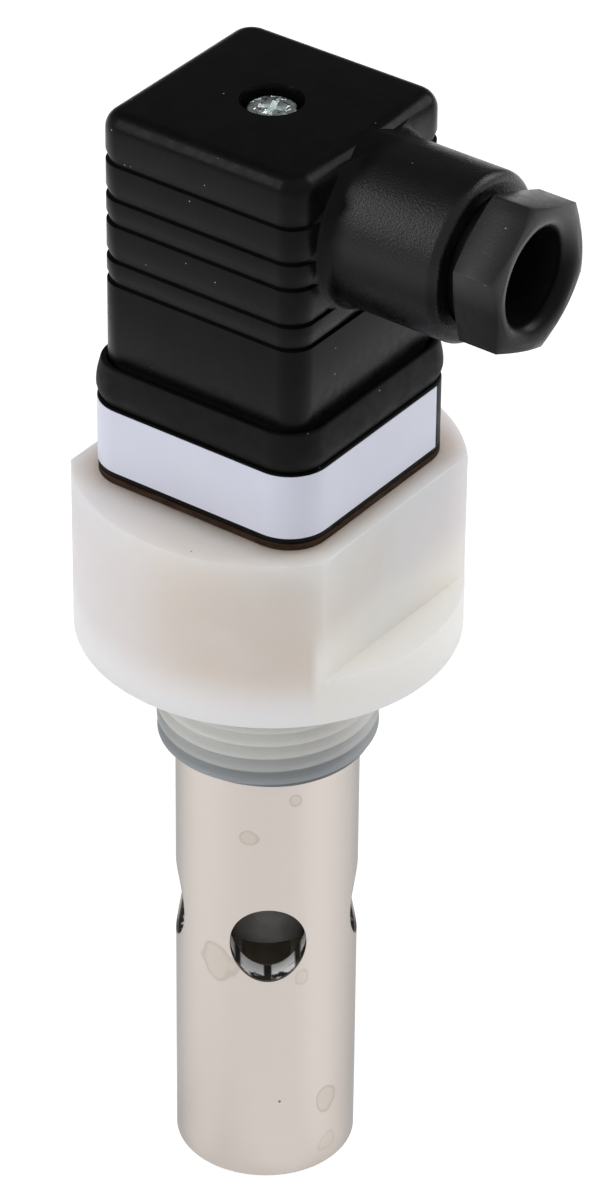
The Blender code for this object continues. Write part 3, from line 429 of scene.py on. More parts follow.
wall = [TUBE_TOP + (TUBE_END - TUBE_TOP) * i / TUBE_RINGS for i in range(TUBE_RINGS + 1)]
tube = made("tube_electrode", spun(
    [(TUBE_BORE, SPIGOT_TOP), (SPIGOT_RADIUS, SPIGOT_TOP), (SPIGOT_RADIUS, TUBE_TOP)]
    + [(TUBE_RADIUS, height) for height in wall]
    + [(TUBE_BORE, height) for height in reversed(wall)], 192))
for angle in HOLE_ANGLES:
    bar = oval_bar(HOLE_WIDTH, HOLE_HEIGHT, 2 * TUBE_RADIUS)
    turned(bar, angle)
    bmesh.ops.translate(bar, vec=(0, 0, HOLE_PLACE), verts=bar.verts)
    carve(tube, bar)
soften(tube, TUBE_EDGE)

marks = bpy.data.node_groups.new("dried_water_mark", "ShaderNodeTree")
marks.interface.new_socket("Centre", in_out="INPUT", socket_type="NodeSocketVector")
marks.interface.new_socket("Radius", in_out="INPUT", socket_type="NodeSocketFloat")
marks.interface.new_socket("Inside", in_out="OUTPUT", socket_type="NodeSocketFloat")
marks.interface.new_socket("Rim", in_out="OUTPUT", socket_type="NodeSocketFloat")
mark_in = marks.nodes.new("NodeGroupInput").outputs
mark_out = marks.nodes.new("NodeGroupOutput").inputs
distance = node(marks, "VectorMath", operation="DISTANCE")
put(marks, own_place(marks), distance.inputs[0])
put(marks, mark_in["Centre"], distance.inputs[1])
share = reckoned(marks, "DIVIDE", distance.outputs["Value"], mark_in["Radius"])
ragged = ranged(marks, noise(marks, scale=300, detail=1), 0.25, 0.75, to_low=-0.3, to_high=0.3)
share = reckoned(marks, "ADD", share, ragged)
inside = ranged(marks, share, 0.85, 1.0, to_low=1.0, to_high=0.0)
beyond = ranged(marks, share, 0.62, 0.9)
put(marks, inside, mark_out["Inside"])
put(marks, reckoned(marks, "MULTIPLY", inside, beyond), mark_out["Rim"])


def turned_steel(name, rough):
    """Satin steel with faint turning lines, on a tube or a rod that stands on Z."""
    finish, tree, shader = new_finish(name)
    lines = noise(tree, scale=40, detail=4, stretch=(1, 1, 70))
    base = mixed(tree, ranged(tree, lines, 0.35, 0.65), STEEL, STEEL_LINES)
    put(tree, ranged(tree, lines, 0.3, 0.7, rough - 0.015, rough + 0.015), shader.inputs["Roughness"])
    put(tree, bumped(tree, lines, depth=0.001 * MM), shader.inputs["Normal"])
    shader.inputs["Metallic"].default_value = 1.0
    shader.inputs["Specular Tint"].default_value = STEEL_GLANCE
    return finish, tree, shader, base


def levelled(tree, place):
    """A place brought to the level of the origin."""
    flat = node(tree, "VectorMath", {1: (1, 1, 0)}, operation="MULTIPLY")
    put(tree, place, flat.inputs[0])
    return flat.outputs["Vector"]


satin_steel, tree, shader, base = turned_steel("satin_turned_steel", TUBE_ROUGH)
for angle, height, radius, strength in WATER_MARKS:
    around = math.radians(angle)
    centre = (TUBE_RADIUS * math.cos(around), TUBE_RADIUS * math.sin(around), height * MM)
    mark = node(tree, "Group", {"Centre": centre, "Radius": radius * MM}, node_tree=marks)
    for output, colour in (("Inside", MARK_INSIDE), ("Rim", MARK_RIM)):
        base = mixed(tree, reckoned(tree, "MULTIPLY", mark.outputs[output], strength), base, colour)
base = mixed(tree, scattered(tree, scale=260, size=0.05, share=0.12), base, STEEL_SPECK)
place = own_place(tree)
length = node(tree, "VectorMath", operation="LENGTH")
put(tree, levelled(tree, place), length.inputs[0])
from_axis = length.outputs["Value"]
deep = ranged(tree, from_axis, TUBE_RADIUS - 0.35 * MM, TUBE_RADIUS - 0.15 * MM, 1.0, 0.0)
bored = ranged(tree, from_axis, TUBE_BORE + 0.05 * MM, TUBE_BORE + 0.3 * MM, 1.0, 0.0)
# Painted reflection: the hole walls are painted near white, with dark bands in the middle, at the sides and
# near the outer edge.
off = reckoned(tree, "MINIMUM", *(aside(tree, place, angle) for angle in HOLE_ANGLES))
middle_dark_reflection = ranged(tree, off, 0.35 * MM, 0.6 * MM, 1.0, 0.0)
side_dark_reflection = reckoned(
    tree, "MULTIPLY", ranged(tree, off, 3.1 * MM, 3.4 * MM), ranged(tree, off, 3.8 * MM, 4.2 * MM, 1.0, 0.0))
edge_ragging = noise(tree, scale=900, detail=3, stretch=(1, 1, 0.2))
ragged_from_axis = reckoned(tree, "ADD", from_axis, ranged(tree, edge_ragging, 0.3, 0.7, -0.7 * MM, 0.7 * MM))
edge_dark_reflection = ranged(tree, ragged_from_axis, 9.5 * MM, 10.4 * MM)
dark_reflections = reckoned(tree, "MAXIMUM", reckoned(tree, "MAXIMUM", middle_dark_reflection, side_dark_reflection), edge_dark_reflection)
painted_reflection = mixed(tree, dark_reflections, WALL_PAINTED_REFLECTION, WALL_PAINTED_DARK_REFLECTION)
# Inside the bore the steel is coloured darker.
base = mixed(tree, bored, mixed(tree, deep, base, painted_reflection), BORE_DARKER)
milled = reckoned(tree, "SUBTRACT", deep, bored)
put(tree, base, shader.inputs["Base Color"])
put(tree, ranged(tree, deep, 0.0, 1.0, TUBE_ROUGH, WALL_ROUGH), shader.inputs["Roughness"])
# The hole walls are not metallic, so that the painted reflection on them shows.
put(tree, ranged(tree, milled, 0.0, 1.0, 1.0, 0.0), shader.inputs["Metallic"])
dress(tube, satin_steel, "probe", "satin_steel", "outer_electrode")

# Inner electrode: a round-nosed steel rod in the middle of the tube, held by a dark plastic bush.
# Above the bush it carries a tag, a nut and a sensor, and wires lead up to the connector pins.
ROD_RADIUS = 3.0 * MM
ROD_END = -57.7 * MM
ROD_NOSE = 1.0 * MM
ROD_TOP = 12.0 * MM
ROD_BORE = 1.5 * MM
ROD_FLOOR = -49.7 * MM
ROD_STEEL = (0.48, 0.44, 0.38)
ROD_PATCH = (0.56, 0.51, 0.45)
BUSH_RADIUS = 7.2 * MM
BUSH_BORE = 3.3 * MM
BUSH_END = -42.9 * MM
BUSH_STEP = -4.4 * MM
BUSH_NECK = 4.7 * MM
BUSH_EDGE = 0.25 * MM


def arc(centre, height, radius, start, end, steps=6):
    """Points of a rounded edge in an outline, from one angle to another in degrees."""
    angles = [math.radians(start + (end - start) * i / steps) for i in range(steps + 1)]
    return [(centre + radius * math.cos(a), height + radius * math.sin(a)) for a in angles]


def plain_plastic(name, colour, other, rough):
    """Moulded plastic with a fine grain and a slightly uneven colour."""
    finish, tree, shader = new_finish(name)
    clouds = ranged(tree, noise(tree, scale=500), 0.3, 0.7)
    gloss = ranged(tree, noise(tree, scale=900), 0.3, 0.7, rough - 0.06, rough + 0.06)
    grain = bumped(tree, noise(tree, scale=2600, detail=2), depth=0.02 * MM)
    put(tree, mixed(tree, clouds, colour, other), shader.inputs["Base Color"])
    put(tree, gloss, shader.inputs["Roughness"])
    put(tree, grain, shader.inputs["Normal"])
    return finish


def worn_metal(name, colour, dull, rough):
    """Bare or plated metal with a cloudy dullness and fine scratches."""
    finish, tree, shader = new_finish(name)
    clouds = ranged(tree, noise(tree, scale=380, detail=5), 0.4, 0.65)
    scratches = noise(tree, scale=700, detail=4, stretch=(1, 6, 1))
    gloss = ranged(tree, scratches, 0.3, 0.7, rough - 0.08, rough + 0.12)
    put(tree, mixed(tree, clouds, colour, dull), shader.inputs["Base Color"])
    put(tree, gloss, shader.inputs["Roughness"])
    put(tree, bumped(tree, scratches, depth=0.02 * MM), shader.inputs["Normal"])
    shader.inputs["Metallic"].default_value = 1.0
    return finish


def paint_nodes(finish, *names):
    """Gives model nodes that keep their own shape a finer material."""
    for name in names:
        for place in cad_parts[name].material_slots:
            place.material = finish


rod = made("rod_electrode", spun(
    [(0, ROD_END)] + arc(ROD_RADIUS - ROD_NOSE, ROD_END + ROD_NOSE, ROD_NOSE, -90, 0)
    + [(ROD_RADIUS, ROD_TOP), (ROD_BORE, ROD_TOP), (ROD_BORE, ROD_FLOOR), (0, ROD_FLOOR)], 96))
dull_steel, tree, shader, base = turned_steel("dull_rod_steel", 0.4)
patches = ranged(tree, noise(tree, scale=300), 0.3, 0.7)
put(tree, mixed(tree, patches, ROD_STEEL, ROD_PATCH), shader.inputs["Base Color"])
dress(rod, dull_steel, "probe", "satin_steel", "inner_electrode")
bush = made("electrode_bush", spun([
    (BUSH_BORE, BUSH_END), (BUSH_RADIUS, BUSH_END), (BUSH_RADIUS, BUSH_STEP), (BUSH_NECK, BUSH_STEP),
    (BUSH_NECK, WEB_TOP), (BUSH_BORE, WEB_TOP)], 128))
soften(bush, BUSH_EDGE)
grey_plastic = plain_plastic("dark_grey_plastic", (0.075, 0.070, 0.062), (0.055, 0.052, 0.047), 0.5)
dress(bush, grey_plastic, "probe", "grey_plastic", "electrode_insulator")
soft_black = plain_plastic("black_seal_rubber", (0.013, 0.013, 0.013), (0.018, 0.018, 0.017), 0.62)
ceramic = plain_plastic("sensor_ceramic", (0.80, 0.78, 0.73), (0.74, 0.72, 0.67), 0.35)
red_wire = plain_plastic("red_wire", (0.42, 0.035, 0.03), (0.36, 0.03, 0.025), 0.42)
blue_wire = plain_plastic("blue_wire", (0.03, 0.07, 0.34), (0.025, 0.06, 0.29), 0.42)
brass = worn_metal("connector_brass", (0.72, 0.55, 0.27), (0.60, 0.44, 0.20), 0.32)
zinc = worn_metal("zinc_plating", (0.60, 0.63, 0.62), (0.48, 0.52, 0.50), 0.30)
paint_nodes(soft_black, "tube_seal", "insulator_seal")
paint_nodes(brass, "solder_tag", "outer_contact_pin")
paint_nodes(zinc, "electrode_nut")
paint_nodes(ceramic, "temperature_sensor")
paint_nodes(red_wire, "lead_inner", "lead_sensor_1")
paint_nodes(blue_wire, "lead_outer", "lead_sensor_2")

# Fibre gasket: a sheet of pressed brown fibre, punched square with round corners. It lies between
# the head and the connector base and keeps water out of the wiring space.
GASKET_SIDE = 30.9 * MM
GASKET_CORNER = 5.0 * MM
GASKET_BOTTOM = 22.3 * MM
GASKET_TOP = 23.1 * MM
WELL_RADIUS = 12.0 * MM
CORNER_SEGMENTS = 14
FIBRE_DARK = (0.023, 0.0125, 0.008)
FIBRE_PALE = (0.050, 0.029, 0.0195)


def square(side, corner, height):
    """A bmesh with one square face with round corners at a height."""
    mesh = bmesh.new()
    lift = Matrix.Translation((0, 0, height))
    bmesh.ops.create_grid(mesh, x_segments=1, y_segments=1, size=side / 2, matrix=lift)
    bmesh.ops.bevel(
        mesh, geom=mesh.verts[:], offset=corner, offset_type="OFFSET", affect="VERTICES",
        segments=CORNER_SEGMENTS, profile=0.5, material=-1)
    return mesh


def rise(mesh, face, height, scale=1.0):
    """Draws a face on to a height, scales it about the axis and returns it in its new place."""
    grown = bmesh.ops.extrude_face_region(mesh, geom=[face, *face.edges])["geom"]
    verts = [item for item in grown if isinstance(item, bmesh.types.BMVert)]
    bmesh.ops.translate(mesh, vec=(0, 0, height - verts[0].co.z), verts=verts)
    bmesh.ops.scale(mesh, vec=(scale, scale, 1), verts=verts)
    return next(item for item in grown if isinstance(item, bmesh.types.BMFace))


def square_block(side, corner, bottom, top):
    """A square block with round corners."""
    mesh = square(side, corner, bottom)
    rise(mesh, mesh.faces[:][0], top)
    bmesh.ops.recalc_face_normals(mesh, faces=mesh.faces)
    return mesh


fibre = made("fibre_gasket", square_block(GASKET_SIDE, GASKET_CORNER, GASKET_BOTTOM, GASKET_TOP))
carve(fibre, rod_between(WELL_RADIUS, GASKET_BOTTOM - MM, GASKET_TOP + MM, 96))
for place in BASE_SCREW_PLACES:
    carve(fibre, rod_between(BASE_SCREW_HOLE, GASKET_BOTTOM - MM, GASKET_TOP + MM, 32, place))
brown_fibre, tree, shader = new_finish("pressed_brown_fibre")
strands = noise(tree, scale=500, detail=6, stretch=(1, 1, 5))
base = mixed(tree, ranged(tree, strands, 0.3, 0.7), FIBRE_DARK, FIBRE_PALE)
put(tree, base, shader.inputs["Base Color"])
put(tree, bumped(tree, strands, depth=0.06 * MM), shader.inputs["Normal"])
shader.inputs["Roughness"].default_value = 0.7
shader.inputs["Specular IOR Level"].default_value = 0.08
dress(fibre, brown_fibre, "probe", "brown_fibre", "base_gasket")

# Connector base: a square block moulded in black plastic round four flat pins and a threaded
# insert. Four screws hold it down on the fibre gasket, and the wires end in its well.
BASE_BOTTOM = 23.2 * MM
BASE_TOP = 32.2 * MM
BASE_CEILING = 28.4 * MM
BASE_EDGE = 0.25 * MM
SCREW_POCKET_RADIUS = 3.05 * MM
SCREW_POCKET_FLOOR = 30.3 * MM
INSERT_HOLE = 2.9 * MM
PIN_PLACE = 9.0 * MM
PIN_SLOT_WIDTH = 1.4 * MM
PIN_SLOT_LENGTH = 6.9 * MM
MOULDING_BLACK = (0.0028, 0.0029, 0.0029)
MOULDING_PATCH = (0.0040, 0.0042, 0.0041)
DUST = (0.30, 0.30, 0.29)
# Painted highlight: the coat weight laid on the top of the cable gland.
GLAND_PAINTED_SHEEN = 0.40

base_block = made("connector_block", square_block(GASKET_SIDE, GASKET_CORNER, BASE_BOTTOM, BASE_TOP))
soften(base_block, BASE_EDGE, 60)
carve(base_block, rod_between(WELL_RADIUS, BASE_BOTTOM - MM, BASE_CEILING, 96))
carve(base_block, rod_between(INSERT_HOLE, BASE_BOTTOM, BASE_TOP + MM, 64))
for place in BASE_SCREW_PLACES:
    carve(base_block, rod_between(BASE_SCREW_HOLE, BASE_BOTTOM - MM, BASE_TOP + MM, 32, place))
    carve(base_block, rod_between(SCREW_POCKET_RADIUS, SCREW_POCKET_FLOOR, BASE_TOP + MM, 48, place))
middle = (BASE_CEILING + BASE_TOP) / 2
tall = 2 * (BASE_TOP - BASE_CEILING)
for side in (-1, 1):
    carve(base_block, block((PIN_SLOT_WIDTH, PIN_SLOT_LENGTH, tall), (side * PIN_PLACE, 0, middle)))
    carve(base_block, block((PIN_SLOT_LENGTH, PIN_SLOT_WIDTH, tall), (0, side * PIN_PLACE, middle)))


def black_moulding(name, grain, rough):
    """Black moulded plastic with an eroded grain and dust specks, and a painted highlight on the cable gland.
    """
    finish, tree, shader = new_finish(name)
    clouds = ranged(tree, noise(tree, scale=260, detail=4), 0.3, 0.7)
    base = mixed(tree, clouds, MOULDING_BLACK, MOULDING_PATCH)
    base = mixed(tree, scattered(tree, scale=420, size=0.04, share=0.4), base, DUST)
    gloss = ranged(tree, noise(tree, scale=700), 0.3, 0.7, rough - 0.05, rough + 0.05)
    on_gland = ranged(tree, measured(tree, own_place(tree), (1, 0, 0)), 15.0 * MM, 17.5 * MM)
    # Painted highlight: the glossy coat lies only on the top of the gland, where the lamp's highlight falls.
    upper = ranged(tree, height_on(tree), 57.5 * MM, 62.0 * MM, to_low=0.0, to_high=GLAND_PAINTED_SHEEN)
    depth = ranged(tree, on_gland, 0.0, 1.0, to_low=grain, to_high=5 * grain)
    uneven = bumped(tree, noise(tree, scale=4200, detail=2), depth)
    put(tree, base, shader.inputs["Base Color"])
    put(tree, gloss, shader.inputs["Roughness"])
    put(tree, uneven, shader.inputs["Normal"])
    put(tree, uneven, shader.inputs["Coat Normal"])
    put(tree, reckoned(tree, "MULTIPLY", on_gland, upper), shader.inputs["Coat Weight"])
    shader.inputs["Coat Roughness"].default_value = rough
    shader.inputs["Specular IOR Level"].default_value = 0.088
    return finish


base_black = black_moulding("black_base_moulding", 0.02 * MM, 0.5)
dress(base_block, base_black, "probe", "black_plastic", "connector_base")
paint_nodes(zinc, "base_screw_1", "base_screw_2", "base_screw_3", "base_screw_4")
paint_nodes(brass, "pin_1", "pin_2", "pin_3", "pin_earth", "threaded_insert")

# Type label: a satin white film, wrapped round the base and stuck down. It is blank. One end stops
# just before a back corner, and the other part-way along the side across from it.
LABEL_SIDE = 31.06 * MM
LABEL_CORNER = 5.08 * MM
LABEL_BOTTOM = 23.9 * MM
LABEL_TOP = 32.1 * MM
LABEL_FILM = 0.06 * MM
LABEL_LONG_END = 11.0 * MM
LABEL_SHORT_END = -1.45 * MM
LABEL_WHITE = (0.70, 0.72, 0.825)
LABEL_PATCH = (0.675, 0.695, 0.80)

strip = square_block(LABEL_SIDE, LABEL_CORNER, LABEL_BOTTOM, LABEL_TOP)
caps = [face for face in strip.faces if abs(face.normal.z) > 0.9]
bmesh.ops.delete(strip, geom=caps, context="FACES")
for end in (LABEL_LONG_END, LABEL_SHORT_END):
    sliced(strip, (0, end, 0), (0, 1, 0))
sliced(strip, (0, 0, 0), (1, 0, 0))
gone = []
for face in strip.faces:
    middle = face.calc_center_median()
    if middle.y > (LABEL_LONG_END if middle.x > 0 else LABEL_SHORT_END):
        gone.append(face)
bmesh.ops.delete(strip, geom=gone, context="FACES")
bmesh.ops.solidify(strip, geom=strip.faces[:], thickness=LABEL_FILM)
bmesh.ops.recalc_face_normals(strip, faces=strip.faces)
label = made("blank_label", strip)
label_film, tree, shader = new_finish("satin_label_film")
clouds = ranged(tree, noise(tree, scale=90), 0.35, 0.7)
gloss = ranged(tree, noise(tree, scale=1500), 0.3, 0.7, to_low=0.34, to_high=0.44)
put(tree, mixed(tree, clouds, LABEL_WHITE, LABEL_PATCH), shader.inputs["Base Color"])
put(tree, gloss, shader.inputs["Roughness"])
put(tree, bumped(tree, noise(tree, scale=160, detail=2), depth=0.06 * MM), shader.inputs["Normal"])
dress(label, label_film, "probe", "label_white", "type_label")

# Profile gasket: a soft black rubber band moulded with a bulging lip. The plug's foot sits inside
# the lip, and the screw on top presses both down on the base.
BAND_BOTTOM = 32.3 * MM
BAND_TOP = 37.2 * MM
BAND_WEB_TOP = 37.45 * MM
BAND_FOOT_SIDE = 30.0 * MM
BAND_CORNER = 4.6 * MM
BAND_SIDE = 31.0 * MM
BAND_LIP_SIDE = 30.1 * MM
BAND_GROOVE_SIDE = 28.9 * MM
BAND_GROOVE_FLOOR = 35.9 * MM
BAND_RIDGE_SIDE = 27.1 * MM
BAND_OPENING = 20.8 * MM
BAND_INNER_CORNER = 3 * MM
BAND_EDGE = 0.2 * MM
BAND_STEPS = 10
BAND_BULGE = 0.35
RUBBER_BLACK = (0.0045, 0.0045, 0.0044)
RUBBER_BLOOM = (0.0065, 0.0065, 0.0063)
RUBBER_DUST = (0.26, 0.26, 0.25)

ring = square(BAND_FOOT_SIDE, BAND_CORNER, BAND_BOTTOM)
top = ring.faces[:][0]
side = BAND_FOOT_SIDE
for step in range(1, BAND_STEPS + 1):
    share = step / BAND_STEPS
    start = BAND_FOOT_SIDE if share < BAND_BULGE else BAND_LIP_SIDE
    swell = math.sin(math.pi / 2 * min(share / BAND_BULGE, (1 - share) / (1 - BAND_BULGE), 1))
    wide = start + (BAND_SIDE - start) * swell
    top = rise(ring, top, BAND_BOTTOM + (BAND_TOP - BAND_BOTTOM) * share, wide / side)
    side = wide
top = rise(ring, top, BAND_TOP, BAND_GROOVE_SIDE / side)
rise(ring, top, BAND_GROOVE_FLOOR)
bmesh.ops.recalc_face_normals(ring, faces=ring.faces)
band = made("profile_gasket_band", ring)
ridge = square_block(BAND_RIDGE_SIDE, BAND_INNER_CORNER, BAND_BOTTOM + MM, BAND_WEB_TOP)
carve(band, ridge, "UNION")
soften(band, BAND_EDGE, 45)
carve(band, square_block(BAND_OPENING, BAND_INNER_CORNER, BAND_BOTTOM - MM, BAND_WEB_TOP + MM))
band_rubber, tree, shader = new_finish("soft_black_rubber")
bloom = ranged(tree, noise(tree, scale=140, detail=4), 0.35, 0.7)
base = mixed(tree, bloom, RUBBER_BLACK, RUBBER_BLOOM)
base = mixed(tree, scattered(tree, scale=480, size=0.05, share=0.35), base, RUBBER_DUST)
gloss = ranged(tree, noise(tree, scale=600), 0.3, 0.7, to_low=0.52, to_high=0.64)
put(tree, base, shader.inputs["Base Color"])
put(tree, gloss, shader.inputs["Roughness"])
put(tree, bumped(tree, noise(tree, scale=1700, detail=2), depth=0.02 * MM), shader.inputs["Normal"])
shader.inputs["Specular IOR Level"].default_value = 0.1
dress(band, band_rubber, "probe", "black_rubber", "profile_gasket")

# Plug housing: a square cap moulded in black plastic with stepped ribs for the fingers and a round
# collar for the cable gland. It is hollow, and the fixing screw runs through a boss in its middle.
PLUG_BOTTOM = 37.55 * MM
PLUG_TOP = 69.05 * MM
PLUG_SIDE = 28.0 * MM
PLUG_CORNER = 3.0 * MM
PLUG_TOP_ROUND = 2.2 * MM
RIB_STEPS = (10.0 * MM, 13.0 * MM, 17.65 * MM, 20.9 * MM, 25.35 * MM)
RIB_TAPER = 1.4 * MM
RIB_DEPTH = 0.4 * MM
RIB_EDGE = 0.12 * MM
ROOM_SIDE = 24.0 * MM
ROOM_CORNER = 1.0 * MM
ROOM_TOP = 66.55 * MM
BOSS_RADIUS = 4.7 * MM
BOSS_BOTTOM = 52.45 * MM
SCREW_WAY = 1.8 * MM
RECESS_RADIUS = 3.7 * MM
RECESS_FLOOR = 65.05 * MM
GLAND_HEIGHT = 58.95 * MM
COLLAR_RADIUS = 10.0 * MM
COLLAR_FROM = 12.3 * MM
COLLAR_END = 29.0 * MM
COLLAR_ROUND = 1.2 * MM
FILLET_WIDE = 0.9 * MM
FILLET_LONG = 1.7 * MM
FILLET_START = 15
FILLET_END = 80
FILLET_STEPS = 7
FILLET_SUNK = 0.6 * MM
FILLET_FOOT = 11.97 * MM
FILLET_REACH = 2.6 * MM
FILLET_BITE = 0.1 * MM
FILLET_CEILING = 68.23 * MM
FILLET_SLOPE = 0.258
CABLE_HOLE = 4.5 * MM
CABLE_HOLE_FROM = COLLAR_FROM - 2 * MM
GROMMET_ROOM = 6.8 * MM
GROMMET_SEAT = 16.0 * MM
GLAND_THREAD = 7.6 * MM
GLAND_THREAD_FROM = 23.3 * MM


def along_gland(mesh):
    """Lays a shape that was turned about Z along the cable gland."""
    turned(mesh, math.pi / 2, "Y")
    bmesh.ops.translate(mesh, vec=(0, 0, GLAND_HEIGHT), verts=mesh.verts)
    return mesh


cap = square(PLUG_SIDE, PLUG_CORNER, PLUG_BOTTOM)
top = cap.faces[:][0]
narrow = (PLUG_SIDE - 2 * RIB_DEPTH) / PLUG_SIDE
for step in RIB_STEPS:
    top = rise(cap, top, PLUG_BOTTOM + step)
    top = rise(cap, top, PLUG_BOTTOM + step, narrow)
    top = rise(cap, top, PLUG_BOTTOM + step + RIB_TAPER, 1 / narrow)
top = rise(cap, top, PLUG_TOP)
bmesh.ops.bevel(
    cap, geom=list(top.edges), offset=PLUG_TOP_ROUND, offset_type="OFFSET", affect="EDGES",
    segments=8, profile=0.5, material=-1)
bmesh.ops.recalc_face_normals(cap, faces=cap.faces)
housing = made("plug_cap", cap)
rounded = arc(COLLAR_RADIUS - COLLAR_ROUND, COLLAR_END - COLLAR_ROUND, COLLAR_ROUND, 0, 90)
collar = [(0, COLLAR_FROM), (COLLAR_RADIUS, COLLAR_FROM)] + rounded + [(0, COLLAR_END)]
carve(housing, along_gland(spun(collar, 128)), "UNION")
face = PLUG_SIDE / 2
curve = []
for step in range(FILLET_STEPS + 1):
    angle = math.radians(FILLET_START + (FILLET_END - FILLET_START) * step / FILLET_STEPS)
    radius = COLLAR_RADIUS + FILLET_WIDE * (1 - math.sin(angle))
    curve.append((radius, face + FILLET_LONG * (1 - math.cos(angle))))
fillet = along_gland(spun(
    [(0, face - FILLET_SUNK), (FILLET_FOOT, face - FILLET_SUNK)] + curve
    + [(COLLAR_RADIUS - FILLET_BITE, face + FILLET_REACH), (0, face + FILLET_REACH)], 128))
sliced(fillet, (face, 0, FILLET_CEILING), (-FILLET_SLOPE, 0, 1), clear=True)
closed(fillet)
carve(housing, fillet, "UNION")
soften(housing, RIB_EDGE, 30, 2)
carve(housing, square_block(ROOM_SIDE, ROOM_CORNER, PLUG_BOTTOM - MM, ROOM_TOP))
carve(housing, rod_between(BOSS_RADIUS, BOSS_BOTTOM, ROOM_TOP + MM), "UNION")
carve(housing, along_gland(spun([
    (0, CABLE_HOLE_FROM), (CABLE_HOLE, CABLE_HOLE_FROM), (CABLE_HOLE, GROMMET_SEAT),
    (GROMMET_ROOM, GROMMET_SEAT), (GROMMET_ROOM, GLAND_THREAD_FROM), (GLAND_THREAD, GLAND_THREAD_FROM),
    (GLAND_THREAD, COLLAR_END + MM), (0, COLLAR_END + MM)], 96)))
carve(housing, spun([
    (0, BOSS_BOTTOM - MM), (SCREW_WAY, BOSS_BOTTOM - MM), (SCREW_WAY, RECESS_FLOOR),
    (RECESS_RADIUS, RECESS_FLOOR), (RECESS_RADIUS, PLUG_TOP + MM), (0, PLUG_TOP + MM)], 96))
plug_black = black_moulding("black_plug_moulding", 0.01 * MM, 0.30)
dress(housing, plug_black, "plug", "black_plastic", "plug_housing")

# Contact carrier: a grey plastic block inside the plug with four brass sockets for the pins, each
# with a slotted terminal screw for one wire of the cable.
paint_nodes(grey_plastic, "contact_carrier")
paint_nodes(brass, "socket_1", "socket_2", "socket_3", "socket_earth")
paint_nodes(zinc, "terminal_screw_1", "terminal_screw_2", "terminal_screw_3", "terminal_screw_earth")

# Fixing screw: a long zinc-plated cross-head screw that holds the plug to the insert in the base,
# with a rubber ring under its head. Its head is bright and scratched by the driver.
SCREW_TIP = 31.2 * MM
SCREW_RADIUS = 1.5 * MM
SCREW_HEAD_RADIUS = 2.85 * MM
SCREW_HEAD_UNDER = 66.05 * MM
SCREW_HEAD_TOP = 68.05 * MM
SCREW_DOME = 0.3 * MM
SCREW_EDGE = 0.2 * MM
CROSS_REACH = 2.1 * MM
CROSS_WIDTH = 0.85 * MM
CROSS_DEPTH = 1.0 * MM
CROSS_TAPER = (0.5, 0.7, 1)
CROSS_TURN = math.radians(20)
ZINC_BRIGHT = (0.90, 0.97, 0.95)
ZINC_DULL = (0.70, 0.79, 0.76)

screw = made("plug_screw", spun(
    [(0, SCREW_TIP), (SCREW_RADIUS, SCREW_TIP), (SCREW_RADIUS, SCREW_HEAD_UNDER),
     (SCREW_HEAD_RADIUS, SCREW_HEAD_UNDER)]
    + arc(SCREW_HEAD_RADIUS - SCREW_DOME, SCREW_HEAD_TOP - SCREW_DOME, SCREW_DOME, 0, 90)
    + [(0, SCREW_HEAD_TOP)], 80))
cross = block((2 * CROSS_REACH, CROSS_WIDTH, 2 * CROSS_DEPTH), (0, 0, 0))
low = [vert for vert in cross.verts if vert.co.z < 0]
bmesh.ops.scale(cross, vec=CROSS_TAPER, verts=low)
turned(cross, CROSS_TURN)
bmesh.ops.translate(cross, vec=(0, 0, SCREW_HEAD_TOP), verts=cross.verts)
second = cross.copy()
turned(second, math.pi / 2)
carve(screw, cross)
carve(screw, second)
soften(screw, SCREW_EDGE, 50)
screw_zinc, tree, shader = new_finish("scratched_zinc")
scrapes = ranged(tree, noise(tree, scale=750, detail=1), 0.46, 0.54)
clouds = ranged(tree, noise(tree, scale=500, detail=4), 0.4, 0.6)
gloss = ranged(tree, noise(tree, scale=1600), 0.35, 0.65, to_low=0.22, to_high=0.42)
put(tree, mixed(tree, clouds, ZINC_BRIGHT, ZINC_DULL), shader.inputs["Base Color"])
put(tree, gloss, shader.inputs["Roughness"])
put(tree, bumped(tree, scrapes, depth=0.12 * MM), shader.inputs["Normal"])
shader.inputs["Metallic"].default_value = 1.0
dress(screw, screw_zinc, "fixing", "zinc", "fixing_screw")
paint_nodes(soft_black, "screw_seal")

# Cable gland: a hexagonal pressing screw of black plastic turns into the collar and pushes a metal
# washer against a rubber grommet, which grips the cable. No cable is fitted.
NUT_BACK = 30.5 * MM
NUT_FRONT = 36.2 * MM
NUT_CORNER = 9.55 * MM
NUT_FLAT = NUT_CORNER * math.cos(math.pi / 6)
NUT_TURN = math.radians(9.5)
NUT_CHAMFER = 0.6 * MM
NUT_OVERRUN = 0.2 * MM
NUT_BACK_INSET = 0.85 * MM
NUT_FRONT_INSET = 0.83 * MM
NUT_SHANK_END = 24.5 * MM
NUT_SHANK = 7.3 * MM
NUT_BORE = 4.8 * MM
NUT_MOUTH = 7.25 * MM
NUT_MOUTH_DEPTH = 3.2 * MM
NUT_LIP = 1.7 * MM
NUT_EDGE = 0.25 * MM

